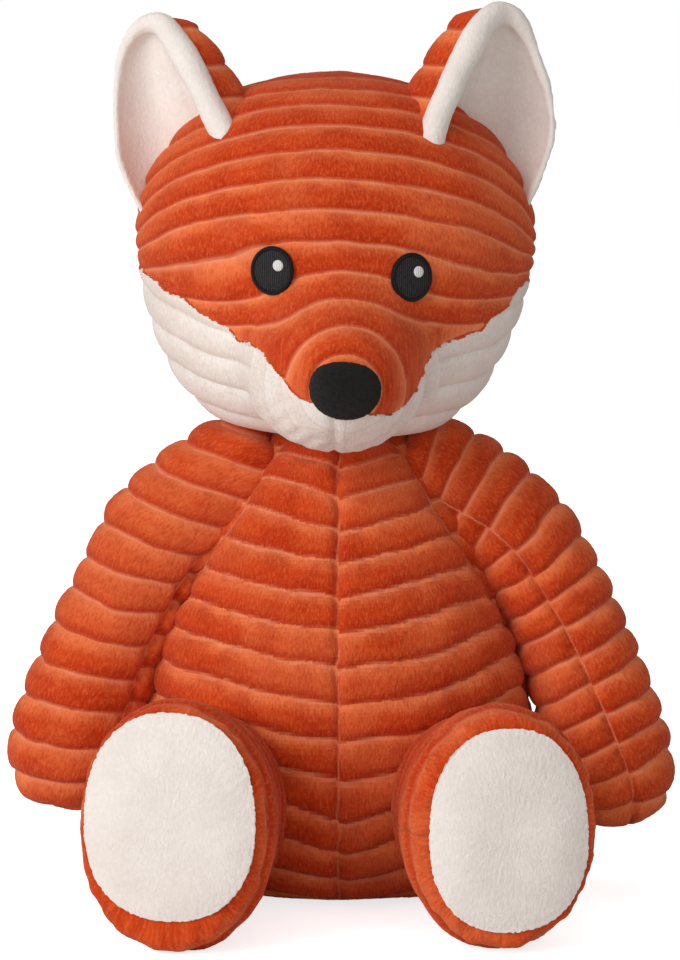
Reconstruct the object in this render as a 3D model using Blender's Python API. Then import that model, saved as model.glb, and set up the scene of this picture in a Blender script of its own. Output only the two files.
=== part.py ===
"""A sitting plush fox: sewn panels of ribbed plush over stuffing, with jointed limbs.

Metres, +Z up. The toy faces -Y, +X is on the viewer's right, and its flat seat
rests on the plane Z = 0, centred on the origin.
"""
import math

import bpy
from mathutils import Matrix, Vector

# Seams and cloth
SEAM_GAP = 0.0003
PLUSH_THICKNESS = 0.0028
FLEECE_THICKNESS = 0.0020
CUT_OVERRUN = 0.012
FLAT_CUT_DEPTH = 0.0005

# How finely round forms are divided
BODY_SEGMENTS = 24
LIMB_SEGMENTS = 14
FOOT_SEGMENTS = 16
STUFFING_SEGMENTS = 12
STUFFING_RINGS = 6
ARM_STUFFING_RINGS = 11
SOCKET_SEGMENTS = 20
CUP_SEGMENTS = 56
GLINT_SEGMENTS = 8

# Torso: a pear with a flat seat
TORSO_HEIGHT = 0.129
TORSO_HALF_WIDTH = 0.0535
TORSO_HALF_DEPTH = 0.046
TORSO_RIBS = 14
TORSO_RIB_HEIGHT = 0.0018
TORSO_CHEVRON_RISE = 0.007
TORSO_PROFILE_SHARES = (
    (0.0, 0.66), (0.06, 0.83), (0.16, 0.94), (0.38, 1.0), (0.54, 0.93), (0.71, 0.77),
    (0.84, 0.61), (0.93, 0.46), (0.98, 0.26), (1.0, 0.12),
)
FRONT_SEAM_Y = -0.014
PELLET_LEVEL = 0.026
CHEVRON_MIDDLE_SHARE = 0.5

# Head: a broad ball with heavy cheeks, a snout and a nose
NECK_SINK = 0.003
HEAD_BASE = TORSO_HEIGHT - NECK_SINK
HEAD_HEIGHT = 0.098
HEAD_HALF_WIDTH = 0.0545
HEAD_HALF_DEPTH = 0.048
HEAD_FORWARD = 0.004
HEAD_SIDEWAYS = -0.0011
HEAD_RIBS = 12
HEAD_RIB_HEIGHT = 0.0014
HEAD_ROLL = math.radians(2.5)
HEAD_TURN = math.radians(2.5)
HEAD_PROFILE_SHARES = (
    (0.0, 0.38), (0.03, 0.56), (0.09, 0.695), (0.18, 0.815), (0.32, 0.925), (0.42, 0.968),
    (0.55, 1.0), (0.68, 0.96), (0.82, 0.80), (0.92, 0.58), (0.975, 0.34), (1.0, 0.14),
)
NECK_CUP_RADIUS = 0.040

SNOUT_LENGTH = 0.061
SNOUT_BACK = 0.015
SNOUT_LEVEL = 0.028
SNOUT_DROP = 0.0095
SNOUT_HALF_WIDTH = 0.0275
SNOUT_HALF_HEIGHT = 0.027
SNOUT_RIBS = 6
SNOUT_PROFILE_SHARES = (
    (0.0, 1.0), (0.3, 0.97), (0.57, 0.88), (0.74, 0.66), (0.9, 0.43), (1.0, 0.24),
)
NOSE_HALF_WIDTH = 0.0096
NOSE_HALF_DEPTH = 0.0065
NOSE_HALF_HEIGHT = 0.0080

# The seam between the orange crown and the white cheeks, from the side of the
# head to the nose, in shares of the head's half width and of its height
CHEEK_LINE_SHARES = (
    (1.3, 0.49), (0.97, 0.436), (0.76, 0.384), (0.54, 0.327), (0.42, 0.293), (0.29, 0.254),
    (0.22, 0.204), (0.0, 0.17),
)
CHEEK_FLOOR_SHARE = 0.3
CHEEK_BACK_Y = 0.004

# Eyes: raised discs of thread
EYE_SPACING = 0.036
EYE_LEVEL = 0.0465
EYE_HALF_WIDTH = 0.0056
EYE_HALF_HEIGHT = 0.0062
EYE_RISE = 0.0020
EYE_SINK = 0.0012
GLINT_RADIUS = 0.0013
GLINT_OFFSET = 0.0015

# Ears: a ribbed back and a smooth lining, rolled into a deep cup that opens forwards.
# Turns run round the cup from its inner side, and the lining's inner edge is thickened.
EAR_HEIGHT = 0.0605
EAR_TALLER_RIGHT = 0.0075
EAR_HALF_WIDTH = 0.0192
EAR_HALF_DEPTH = 0.0205
EAR_SPREAD = 0.0385
EAR_ROOT_LEVEL = 0.052
EAR_Y = -0.021
EAR_LEAN = {-1: math.radians(10), 1: math.radians(4)}
EAR_TILT = math.radians(8)
EAR_FIRST_TURN = math.radians(-40)
EAR_LAST_TURN = math.radians(162)
EAR_COLUMNS = 9
EAR_BACK_FIRST_COLUMN = 1
EAR_BACK_LAST_COLUMN = 8
EAR_ROWS = 10
EAR_ROLL = 0.0042
EAR_ROLL_FADE = 4
EAR_CREASE_DEPTH = 0.0272
EAR_CREASE_RISE = 0.0275
EAR_PROFILE_SHARES = (
    (0.0, 0.55), (0.13, 0.80), (0.36, 0.96), (0.53, 1.0), (0.68, 0.91), (0.86, 0.62), (0.96, 0.36),
    (1.0, 0.20),
)

# Arms: tapered to a ball that turns in the armhole
SHOULDER_X = 0.029
SHOULDER_DROP = 0.017
SHOULDER_Z = TORSO_HEIGHT - SHOULDER_DROP
SHOULDER_RADIUS = 0.0135
SHOULDER_STEP = 0.0008
STUFFING_ROOT_RUN = 0.007
ARM_REACH = 0.049
ARM_DROP = 0.090
ARM_FORWARD = 0.010
ARM_HALF_WIDTH = 0.0162
ARM_RIBS = 13
ARM_RIB_HEIGHT = 0.0016
ARM_SPINE_SHARES = ((0.0, 0.0), (0.37, 0.15), (0.59, 0.344), (0.745, 0.522), (0.93, 0.822), (1.0, 1.0))
ARM_PROFILE_SHARES = (
    (0.0, 0.80), (0.14, 0.94), (0.25, 0.97), (0.55, 0.94), (0.80, 1.0), (0.91, 0.90), (0.98, 0.60),
    (1.0, 0.36),
)

# Legs: short, with a tall foot whose sole faces forwards
HIP_X = 0.030
HIP_Y = -0.022
LEG_LENGTH = 0.0715
LEG_SPLAY = 0.014
FOOT_HALF_WIDTH = 0.0255
FOOT_HALF_HEIGHT = 0.0325
LEG_RIBS = 7
LEG_RIB_HEIGHT = 0.0016
LEG_CREASE_Y = -0.0465
LEG_CREASE_Z = 0.0515
LEG_PROFILE_SHARES = (
    (0.0, 0.72), (0.3, 0.75), (0.55, 0.81), (0.75, 0.93), (0.9, 1.0), (0.97, 0.96), (1.0, 0.88),
)
SOLE_HALF_WIDTH = 0.0215
SOLE_HALF_HEIGHT = 0.0272
SOLE_BULGE = 0.0022
SOLE_CROWN_SHARE = 0.5
SOLE_EDGE_SHARES = ((0.0, 1.0), (0.5, 0.985), (1.0, 0.90))

# Tail: lies on the ground behind the seat, with a pale tip
TAIL_ROOT_Y = 0.030
TAIL_LENGTH = 0.082
TAIL_SWEEP = 0.010
TAIL_HALF_WIDTH = 0.0155
TAIL_TIP_SHARE = 0.66
TAIL_RIBS = 8
TAIL_RIB_HEIGHT = 0.0014
TAIL_CREASE_Y = 0.0465
TAIL_CREASE_Z = 0.0255
TAIL_PROFILE_SHARES = (
    (0.0, 0.50), (0.2, 0.60), (0.5, 0.92), (0.68, 1.0), (0.85, 0.82), (0.95, 0.50), (1.0, 0.22),
)

# Edges between faces that meet at less than this are shaded smooth
SMOOTH_ANGLE = math.radians(50)

# Length along a limb, as a share, over which its direction is measured
SPINE_NUDGE_SHARE = 0.02

# Colours of the cloths and threads
RUST = (0.60, 0.11, 0.035, 1.0)
CREAM = (0.82, 0.74, 0.68, 1.0)
BLACK = (0.015, 0.013, 0.013, 1.0)
WHITE = (0.85, 0.85, 0.85, 1.0)
FIBRE = (0.80, 0.80, 0.78, 1.0)
COTTON = (0.66, 0.60, 0.50, 1.0)


def clear_scene():
    for old in list(bpy.data.objects):
        bpy.data.objects.remove(old)


def make_material(name, colour, roughness):
    material = bpy.data.materials.new(name)
    material.use_nodes = True
    shader = material.node_tree.nodes["Principled BSDF"]
    shader.inputs["Base Color"].default_value = colour
    shader.inputs["Roughness"].default_value = roughness
    shader.inputs["Metallic"].default_value = 0.0
    return material


def profile_at(shares, place):
    """Size share at a place share, on a smooth curve through the listed points."""
    last = len(shares) - 1
    index = 0
    while index < last - 1 and shares[index + 1][0] <= place:
        index += 1

    def slope(point):
        before = shares[max(point - 1, 0)]
        after = shares[min(point + 1, last)]
        return (after[1] - before[1]) / (after[0] - before[0])

    (start, low), (stop, high) = shares[index], shares[index + 1]
    span = stop - start
    step = (place - start) / span
    square, cube = step ** 2, step ** 3
    return (
        (2 * cube - 3 * square + 1) * low + (cube - 2 * square + step) * span * slope(index)
        + (3 * square - 2 * cube) * high + (cube - square) * span * slope(index + 1)
    )


def skin(name, rings):
    """Closed solid through a list of rings of points, with flat ends."""
    count = len(rings[0])
    points = [point for ring in rings for point in ring]
    faces = [tuple(range(count))[::-1]]
    for row in range(len(rings) - 1):
        for column in range(count):
            following = (column + 1) % count
            faces.append((
                row * count + column, row * count + following,
                (row + 1) * count + following, (row + 1) * count + column,
            ))
    top = (len(rings) - 1) * count
    faces.append(tuple(range(top, top + count)))
    mesh = bpy.data.meshes.new(name)
    mesh.from_pydata(points, [], faces)
    solid = bpy.data.objects.new(name, mesh)
    bpy.context.collection.objects.link(solid)
    return face_outwards(solid)


def face_outwards(solid):
    """Turn the faces round if the solid is inside out."""
    solid.data.update()
    volume = 0.0
    solid.data.calc_loop_triangles()
    for triangle in solid.data.loop_triangles:
        a, b, c = (solid.data.vertices[index].co for index in triangle.vertices)
        volume += a.dot(b.cross(c))
    if volume < 0:
        solid.data.flip_normals()
    return solid


def ellipse_ring(centre, across, upward, half_across, half_up, segments):
    angles = (math.tau * step / segments for step in range(segments))
    return [
        centre + across * (half_across * math.cos(angle)) + upward * (half_up * math.sin(angle))
        for angle in angles
    ]


def carve(solid, tool, operation="DIFFERENCE", keep_tool=False):
    """Apply one boolean cut, join or overlap to a solid."""
    modifier = solid.modifiers.new("carve", "BOOLEAN")
    modifier.object = tool
    modifier.operation = operation
    modifier.solver = "EXACT"
    view = bpy.context.evaluated_depsgraph_get()
    result = bpy.data.meshes.new_from_object(solid.evaluated_get(view))
    solid.modifiers.clear()
    solid.data = result
    if not keep_tool:
        bpy.data.objects.remove(tool)
    return solid


def duplicate(solid, name):
    twin = bpy.data.objects.new(name, solid.data.copy())
    bpy.context.collection.objects.link(twin)
    return twin


def block(low, high):
    """Box cutter between two corners."""
    x0, y0, z0 = low
    x1, y1, z1 = high
    floor = [Vector((x0, y0, z0)), Vector((x1, y0, z0)), Vector((x1, y1, z0)), Vector((x0, y1, z0))]
    roof = [Vector((point.x, point.y, z1)) for point in floor]
    return skin("block", [floor, roof])


def ellipsoid(name, centre, half_x, half_y, half_z, segments=LIMB_SEGMENTS):
    """Rounded lump whose poles lie along Y."""
    rows = segments // 2
    rings = []
    for row in range(rows):
        angle = math.pi * (row + 0.5) / rows
        middle = Vector(centre) + Vector((0, -half_y * math.cos(angle), 0))
        across = half_x * math.sin(angle)
        upward = half_z * math.sin(angle)
        rings.append(ellipse_ring(middle, Vector((1, 0, 0)), Vector((0, 0, 1)), across, upward, segments))
    return skin(name, rings)


def finish(solid, material):
    solid.data.materials.clear()
    solid.data.materials.append(material)
    solid.data.shade_smooth()
    solid.data.set_sharp_from_angle(angle=SMOOTH_ANGLE)
    return solid


def ring_places(ribs):
    """Places along a ribbed form as (share, +1 on a rib or -1 in a groove)."""
    return [(step / (2 * ribs), 1 if step % 2 else -1) for step in range(2 * ribs + 1)]


def plain_places(rings):
    return [(step / rings, 0) for step in range(rings + 1)]


# Torso

def torso_form(name, extra=0.0, plain=False):
    """The torso's outer form, or with plain set the smooth form that lines it."""
    places = plain_places(STUFFING_RINGS) if plain else ring_places(TORSO_RIBS)
    segments = STUFFING_SEGMENTS if plain else BODY_SEGMENTS
    rings = []
    for share, rib in places:
        size = profile_at(TORSO_PROFILE_SHARES, share)
        swell = extra + rib * TORSO_RIB_HEIGHT / 2
        half_width = TORSO_HALF_WIDTH * size + swell
        half_depth = TORSO_HALF_DEPTH * size + swell
        level = -extra + (TORSO_HEIGHT + 2 * extra) * share
        centre = Vector((0, 0, level))
        ring = ellipse_ring(centre, Vector((1, 0, 0)), Vector((0, 1, 0)), half_width, half_depth, segments)
        rise = 0 if plain else TORSO_CHEVRON_RISE * math.sin(math.pi * share)
        for point in ring:
            point.z += rise * (abs(point.x) / half_width - CHEVRON_MIDDLE_SHARE)
        rings.append(ring)
    return skin(name, rings)


def make_torso(plush, fibre, cotton):
    shell = torso_form("shell")
    carve(shell, torso_form("hollow", -PLUSH_THICKNESS, plain=True))
    for side in (-1, 1):
        carve(shell, armhole(side))
    reach = TORSO_HALF_WIDTH + CUT_OVERRUN
    depth = TORSO_HALF_DEPTH + CUT_OVERRUN
    top = TORSO_HEIGHT + CUT_OVERRUN
    half_gap = SEAM_GAP / 2
    panels = {
        "body_front_left": ((-reach, -depth, -CUT_OVERRUN), (-half_gap, FRONT_SEAM_Y - half_gap, top)),
        "body_front_right": ((half_gap, -depth, -CUT_OVERRUN), (reach, FRONT_SEAM_Y - half_gap, top)),
        "body_back": ((-reach, FRONT_SEAM_Y + half_gap, -CUT_OVERRUN), (reach, depth, top)),
    }
    pieces = []
    for name, (low, high) in panels.items():
        panel = carve(duplicate(shell, name), block(low, high), "INTERSECT")
        pieces.append(finish(panel, plush))
    bpy.data.objects.remove(shell)

    filling = -PLUSH_THICKNESS - SEAM_GAP
    stuffing = torso_form("body_stuffing", filling, plain=True)
    for side in (-1, 1):
        carve(stuffing, armhole(side))
    pouch = duplicate(stuffing, "pellet_pouch")
    carve(stuffing, block((-reach, -depth, -CUT_OVERRUN), (reach, depth, PELLET_LEVEL + half_gap)))
    carve(pouch, block((-reach, -depth, PELLET_LEVEL - half_gap), (reach, depth, top)))
    pieces.append(finish(stuffing, fibre))
    pieces.append(finish(pouch, cotton))
    return pieces


# Arms

def round_cutter(centre, radius, segments):
    """Ball cutter whose flats, and not its corners, lie at the radius."""
    corner = radius / math.cos(math.pi / segments) ** 2
    return ellipsoid("ball", centre, corner, corner, corner, segments)


def armhole(side):
    return round_cutter((side * SHOULDER_X, 0, SHOULDER_Z), SHOULDER_RADIUS + SEAM_GAP, SOCKET_SEGMENTS)


def spine_steps():
    """Share of the arm's length at each point of its spine, so that ribs keep one width."""
    lengths = [0.0]
    for (x0, z0), (x1, z1) in zip(ARM_SPINE_SHARES, ARM_SPINE_SHARES[1:]):
        lengths.append(lengths[-1] + math.hypot(ARM_REACH * (x1 - x0), ARM_DROP * (z1 - z0)))
    return [length / lengths[-1] for length in lengths]


def arm_spine(side, share):
    """Point on the arm's middle line at a share of its length."""
    steps = spine_steps()
    outward = profile_at([(step, x) for step, (x, _) in zip(steps, ARM_SPINE_SHARES)], share)
    down = profile_at([(step, z) for step, (_, z) in zip(steps, ARM_SPINE_SHARES)], share)
    x = SHOULDER_X + ARM_REACH * outward
    z = SHOULDER_Z - ARM_DROP * down
    return Vector((side * x, -ARM_FORWARD * share, z))


def limb_ring(spine, share, half_across, half_up, segments, back_off=0.0):
    """Ring square to the spine at a share of its length, set back along it if asked."""
    near = max(share - SPINE_NUDGE_SHARE, 0.0)
    far = min(share + SPINE_NUDGE_SHARE, 1.0)
    along = (spine(far) - spine(near)).normalized()
    depthwise = Vector((0, 1, 0)) - along * along.y
    depthwise.normalize()
    sideways = along.cross(depthwise)
    centre = spine(share) - along * back_off
    return ellipse_ring(centre, sideways, depthwise, half_across, half_up, segments)


def arm_form(name, side, extra=0.0, plain=False, root_run=0.0):
    """Arm from the shoulder's centre to the hand, set back there by the root run if asked."""
    def spine(share):
        return arm_spine(side, share)

    places = plain_places(ARM_STUFFING_RINGS) if plain else ring_places(ARM_RIBS)
    segments = STUFFING_SEGMENTS if plain else LIMB_SEGMENTS
    reach_share = 1 + extra / ARM_DROP
    rings = []
    for share, rib in places:
        radius = ARM_HALF_WIDTH * profile_at(ARM_PROFILE_SHARES, share) + extra + rib * ARM_RIB_HEIGHT / 2
        if share == 0:
            radius = SHOULDER_RADIUS - SHOULDER_STEP + extra
            rings.append(limb_ring(spine, share, radius, radius, segments, root_run))
        if share > 0 or root_run > 0:
            rings.append(limb_ring(spine, share * reach_share, radius, radius, segments))
    return skin(name, rings)


def make_arm(side, label, plush, fibre):
    shoulder = (side * SHOULDER_X, 0, SHOULDER_Z)
    cover = arm_form(f"arm_{label}", side)
    ball = ellipsoid("ball", shoulder, SHOULDER_RADIUS, SHOULDER_RADIUS, SHOULDER_RADIUS, SOCKET_SEGMENTS)
    carve(cover, ball, "UNION")
    flank = torso_form("flank", SEAM_GAP)
    around_ball = SHOULDER_RADIUS + SEAM_GAP / 2
    carve(flank, ellipsoid("cavity", shoulder, around_ball, around_ball, around_ball, SOCKET_SEGMENTS))
    carve(cover, flank, keep_tool=True)
    carve(cover, arm_form("hollow", side, -PLUSH_THICKNESS, True, SHOULDER_RADIUS + CUT_OVERRUN))
    stuffing = arm_form(f"arm_{label}_stuffing", side, -PLUSH_THICKNESS - SEAM_GAP, True, STUFFING_ROOT_RUN)
    carve(stuffing, flank)
    return [finish(cover, plush), finish(stuffing, fibre)]


# Legs

def leg_form(name, side, extra=0.0, plain=False, root_run=0.0):
    """Leg from inside the torso to the sole, which is its flat front end."""
    root = Vector((side * HIP_X, HIP_Y, FOOT_HALF_HEIGHT * LEG_PROFILE_SHARES[0][1]))
    sole = Vector((side * (HIP_X + LEG_SPLAY), HIP_Y - LEG_LENGTH, FOOT_HALF_HEIGHT - FLAT_CUT_DEPTH))
    along = (sole - root).normalized()
    across = Vector((0, 0, 1)).cross(along).normalized()
    upward = along.cross(across)
    places = plain_places(STUFFING_RINGS) if plain else ring_places(LEG_RIBS)
    segments = STUFFING_SEGMENTS if plain else FOOT_SEGMENTS
    rings = []
    for share, rib in places:
        size = profile_at(LEG_PROFILE_SHARES, share)
        swell = extra + rib * LEG_RIB_HEIGHT / 2
        centre = root + (sole - root) * share
        centre += along * (extra if share == 1 else 0) - along * (root_run if share == 0 else 0)
        half_width = FOOT_HALF_WIDTH * size + swell
        half_height = FOOT_HALF_HEIGHT * size + swell
        rings.append(ellipse_ring(centre, across, upward, half_width, half_height, segments))
    return skin(name, rings), sole, along, across, upward


def make_leg(side, label, plush, fibre, fleece):
    cover, sole, along, across, upward = leg_form(f"leg_{label}", side)
    hollow = leg_form("hollow", side, -PLUSH_THICKNESS, True, CUT_OVERRUN)[0]
    carve(cover, hollow)
    stuffing = leg_form(f"leg_{label}_stuffing", side, -PLUSH_THICKNESS - SEAM_GAP, plain=True)[0]
    belly = torso_form("belly", SEAM_GAP)
    reach = HIP_X + LEG_SPLAY + FOOT_HALF_WIDTH + CUT_OVERRUN
    front = LEG_LENGTH + CUT_OVERRUN - HIP_Y
    ground = block((-reach, -front, -CUT_OVERRUN), (reach, front, 0))
    carve(cover, ground)
    carve(cover, belly, keep_tool=True)
    carve(stuffing, belly)

    levels = [(FLEECE_THICKNESS * rise, size) for rise, size in SOLE_EDGE_SHARES]
    levels.append((FLEECE_THICKNESS + SOLE_BULGE, SOLE_CROWN_SHARE))
    pad_rings = []
    for rise, size in levels:
        centre = sole + along * (SEAM_GAP + rise)
        half_width = SOLE_HALF_WIDTH * size
        half_height = SOLE_HALF_HEIGHT * size
        pad_rings.append(ellipse_ring(centre, across, upward, half_width, half_height, FOOT_SEGMENTS))
    pad = skin(f"sole_pad_{label}", pad_rings)
    return [finish(cover, plush), finish(stuffing, fibre), finish(pad, fleece)]


# Tail

def tail_form(name, extra=0.0, plain=False):
    def spine(share):
        size = profile_at(TAIL_PROFILE_SHARES, share)
        level = TAIL_HALF_WIDTH * max(size, TAIL_PROFILE_SHARES[1][1]) - FLAT_CUT_DEPTH
        return Vector((TAIL_SWEEP * share ** 2, TAIL_ROOT_Y + TAIL_LENGTH * share, level))

    places = plain_places(STUFFING_RINGS) if plain else ring_places(TAIL_RIBS)
    segments = STUFFING_SEGMENTS if plain else LIMB_SEGMENTS
    rings = []
    for share, rib in places:
        radius = TAIL_HALF_WIDTH * profile_at(TAIL_PROFILE_SHARES, share) + extra
        radius += rib * TAIL_RIB_HEIGHT / 2
        centre = spine(share) + Vector((0, extra if share == 1 else 0, 0))
        rings.append(ellipse_ring(centre, Vector((1, 0, 0)), Vector((0, 0, 1)), radius, radius, segments))
    return skin(name, rings)


def make_tail(plush, fleece, fibre):
    shell = tail_form("shell")
    carve(shell, tail_form("hollow", -PLUSH_THICKNESS, plain=True))
    stuffing = tail_form("tail_stuffing", -PLUSH_THICKNESS - SEAM_GAP, plain=True)
    reach = TAIL_SWEEP + TAIL_HALF_WIDTH + CUT_OVERRUN
    back = TAIL_ROOT_Y + TAIL_LENGTH + CUT_OVERRUN
    carve(shell, block((-reach, 0, -CUT_OVERRUN), (reach, back, 0)))
    rump = torso_form("rump", SEAM_GAP)
    carve(shell, rump, keep_tool=True)
    carve(stuffing, rump)
    tip_y = TAIL_ROOT_Y + TAIL_LENGTH * TAIL_TIP_SHARE
    half_gap = SEAM_GAP / 2
    height = 2 * TAIL_HALF_WIDTH + CUT_OVERRUN
    tip = duplicate(shell, "tail_tip")
    shell.name = "tail_cover"
    carve(shell, block((-reach, tip_y - half_gap, -CUT_OVERRUN), (reach, back, height)))
    carve(tip, block((-reach, 0, -CUT_OVERRUN), (reach, tip_y + half_gap, height)))
    return [finish(shell, plush), finish(tip, fleece), finish(stuffing, fibre)]


# Head

def head_form(name, extra=0.0, plain=False):
    """Ball of the head joined to the snout."""
    places = plain_places(STUFFING_RINGS + 1) if plain else ring_places(HEAD_RIBS)
    segments = STUFFING_SEGMENTS if plain else BODY_SEGMENTS
    rings = []
    for share, rib in places:
        size = profile_at(HEAD_PROFILE_SHARES, share)
        swell = extra + rib * HEAD_RIB_HEIGHT / 2
        centre = Vector((0, -HEAD_FORWARD, HEAD_BASE - extra + (HEAD_HEIGHT + 2 * extra) * share))
        half_width = HEAD_HALF_WIDTH * size + swell
        half_depth = HEAD_HALF_DEPTH * size + swell
        rings.append(ellipse_ring(
            centre, Vector((1, 0, 0)), Vector((0, 1, 0)), half_width, half_depth, segments,
        ))
    ball = skin(name, rings)

    snout_places = plain_places(STUFFING_RINGS // 2) if plain else ring_places(SNOUT_RIBS)
    snout_rings = []
    for share, rib in snout_places:
        size = profile_at(SNOUT_PROFILE_SHARES, share)
        swell = extra + rib * HEAD_RIB_HEIGHT / 2
        level = HEAD_BASE + SNOUT_LEVEL - SNOUT_DROP * share
        centre = Vector((0, -SNOUT_BACK - (SNOUT_LENGTH + extra) * share, level))
        snout_rings.append(ellipse_ring(
            centre, Vector((1, 0, 0)), Vector((0, 0, 1)),
            SNOUT_HALF_WIDTH * size + swell, SNOUT_HALF_HEIGHT * size + swell, segments,
        ))
    carve(ball, skin("snout", snout_rings), "UNION")
    return ball


def cheek_line(middle_x, rise):
    """Cheek line of one side, from the side of the head to the middle."""
    return [
        (max(share * HEAD_HALF_WIDTH, middle_x), HEAD_BASE + HEAD_HEIGHT * level + rise)
        for share, level in CHEEK_LINE_SHARES
    ]


def space_below(line, back):
    """Prism below a line across the head, from in front of the nose to the given back."""
    floor = HEAD_BASE - HEAD_HEIGHT * CHEEK_FLOOR_SHARE
    outline = line + [(line[-1][0], floor), (line[0][0], floor)]
    front = -(SNOUT_BACK + SNOUT_LENGTH + CUT_OVERRUN)
    near = [Vector((x, front, z)) for x, z in outline]
    far = [Vector((x, back, z)) for x, z in outline]
    return skin("prism", [near, far])


def head_surface_y(x, z):
    """Front of the head's ball at a height over its base."""
    size = profile_at(HEAD_PROFILE_SHARES, z / HEAD_HEIGHT)
    inside = 1 - (x / (HEAD_HALF_WIDTH * size)) ** 2
    return -HEAD_FORWARD - HEAD_HALF_DEPTH * size * math.sqrt(inside)


def make_face(thread, white_thread, nose_cloth):
    """Eyes, glints and nose, each cut to sit on the head."""
    face = head_form("face", SEAM_GAP)
    pieces = []
    for side, label in ((-1, "left"), (1, "right")):
        x = side * EYE_SPACING / 2
        y = head_surface_y(x, EYE_LEVEL) + EYE_SINK
        depth = EYE_SINK + EYE_RISE
        centre = (x, y, HEAD_BASE + EYE_LEVEL)
        eye = ellipsoid(f"eye_{label}", centre, EYE_HALF_WIDTH, depth, EYE_HALF_HEIGHT)
        carve(eye, face, keep_tool=True)
        glint_centre = (x + GLINT_OFFSET, y - depth, HEAD_BASE + EYE_LEVEL + GLINT_OFFSET)
        glint = ellipsoid(
            f"eye_glint_{label}", glint_centre, GLINT_RADIUS, GLINT_RADIUS, GLINT_RADIUS, GLINT_SEGMENTS,
        )
        pupil = ellipsoid(
            "pupil", centre, EYE_HALF_WIDTH + SEAM_GAP, depth + SEAM_GAP, EYE_HALF_HEIGHT + SEAM_GAP,
        )
        carve(glint, pupil)
        pieces += [finish(eye, thread), finish(glint, white_thread)]
    tip_y = -SNOUT_BACK - SNOUT_LENGTH
    nose_level = HEAD_BASE + SNOUT_LEVEL - SNOUT_DROP
    nose = ellipsoid("nose", (0, tip_y, nose_level), NOSE_HALF_WIDTH, NOSE_HALF_DEPTH, NOSE_HALF_HEIGHT)
    carve(nose, face)
    pieces.append(finish(nose, nose_cloth))
    return pieces


def ear_height(side):
    return EAR_HEIGHT + (EAR_TALLER_RIGHT if side > 0 else 0)


def ear_frame(side):
    """Ear's own frame: X across towards the outside, -Y forwards, Z to the tip."""
    root = Vector((side * EAR_SPREAD, EAR_Y, HEAD_BASE + EAR_ROOT_LEVEL))
    lean = Matrix.Rotation(side * EAR_LEAN[side], 4, "Y")
    tilt = Matrix.Rotation(-EAR_TILT, 4, "X")
    return Matrix.Translation(root) @ lean @ tilt


def ear_layer(name, side, inner, outer, first_column, last_column, roll=0.0):
    """One cupped layer of an ear between two offsets from the cup's hollow."""
    frame = ear_frame(side)
    step = (EAR_LAST_TURN - EAR_FIRST_TURN) / EAR_COLUMNS
    columns = last_column - first_column
    points = []
    for offset, inward in ((inner, roll), (outer, 0)):
        for row in range(EAR_ROWS + 1):
            size = profile_at(EAR_PROFILE_SHARES, row / EAR_ROWS)
            for column in range(first_column, last_column + 1):
                turn = EAR_FIRST_TURN + step * column
                swell = offset - inward * size * (1 - column / EAR_COLUMNS) ** EAR_ROLL_FADE
                across = (EAR_HALF_WIDTH * size + swell) * math.cos(turn)
                depth = (EAR_HALF_DEPTH * size + swell) * math.sin(turn)
                points.append(frame @ Vector((-side * across, depth, ear_height(side) * row / EAR_ROWS)))
    across_count = columns + 1
    layer = (EAR_ROWS + 1) * across_count
    faces = []
    for row in range(EAR_ROWS):
        for column in range(columns):
            corner = row * across_count + column
            quad = (corner, corner + 1, corner + across_count + 1, corner + across_count)
            faces.append(quad)
            faces.append(tuple(index + layer for index in reversed(quad)))
        for column in (0, columns):
            low = row * across_count + column
            high = low + across_count
            rim = (low, high, high + layer, low + layer)
            faces.append(rim if column == 0 else rim[::-1])
    for row in (0, EAR_ROWS):
        for column in range(columns):
            left = row * across_count + column
            rim = (left, left + layer, left + layer + 1, left + 1)
            faces.append(rim if row == 0 else rim[::-1])
    mesh = bpy.data.meshes.new(name)
    mesh.from_pydata(points, [], faces)
    ear = bpy.data.objects.new(name, mesh)
    bpy.context.collection.objects.link(ear)
    return face_outwards(ear)


def make_ears(plush, fleece):
    head = head_form("scalp", SEAM_GAP)
    ears = {}
    for side, label in ((-1, "left"), (1, "right")):
        lining = ear_layer(f"ear_lining_{label}", side, 0, FLEECE_THICKNESS, 0, EAR_COLUMNS, EAR_ROLL)
        back_start = FLEECE_THICKNESS + SEAM_GAP
        back = ear_layer(
            f"ear_back_{label}", side, back_start, back_start + PLUSH_THICKNESS,
            EAR_BACK_FIRST_COLUMN, EAR_BACK_LAST_COLUMN,
        )
        carve(lining, head, keep_tool=True)
        carve(back, head, keep_tool=True)
        ears[label] = [finish(lining, fleece), finish(back, plush)]
    bpy.data.objects.remove(head)
    return ears


def make_head(plush, cheek_plush, fibre):
    shell = head_form("head_crown")
    carve(shell, head_form("hollow", -PLUSH_THICKNESS, plain=True))
    pieces = []
    half_line = cheek_line(SEAM_GAP / 2, 0)
    for side, label in ((-1, "left"), (1, "right")):
        below = space_below([(side * x, z) for x, z in half_line], CHEEK_BACK_Y)
        cheek = carve(duplicate(shell, f"cheek_{label}"), below, "INTERSECT")
        pieces.append(finish(cheek, cheek_plush))
    crown_line = cheek_line(0, SEAM_GAP)
    crown_line += [(-x, z) for x, z in reversed(crown_line[:-1])]
    carve(shell, space_below(crown_line, CHEEK_BACK_Y + SEAM_GAP))
    pieces.append(finish(shell, plush))
    stuffing = head_form("head_stuffing", -PLUSH_THICKNESS - SEAM_GAP, plain=True)
    pieces.append(finish(stuffing, fibre))
    return pieces


def neck_cup():
    """Round hollow under the head, in which the top of the torso turns."""
    corner = TORSO_HALF_WIDTH * TORSO_PROFILE_SHARES[-1][1]
    centre = (0, 0, TORSO_HEIGHT - math.sqrt(NECK_CUP_RADIUS ** 2 - corner ** 2))
    return round_cutter(centre, NECK_CUP_RADIUS + SEAM_GAP, CUP_SEGMENTS)


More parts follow.
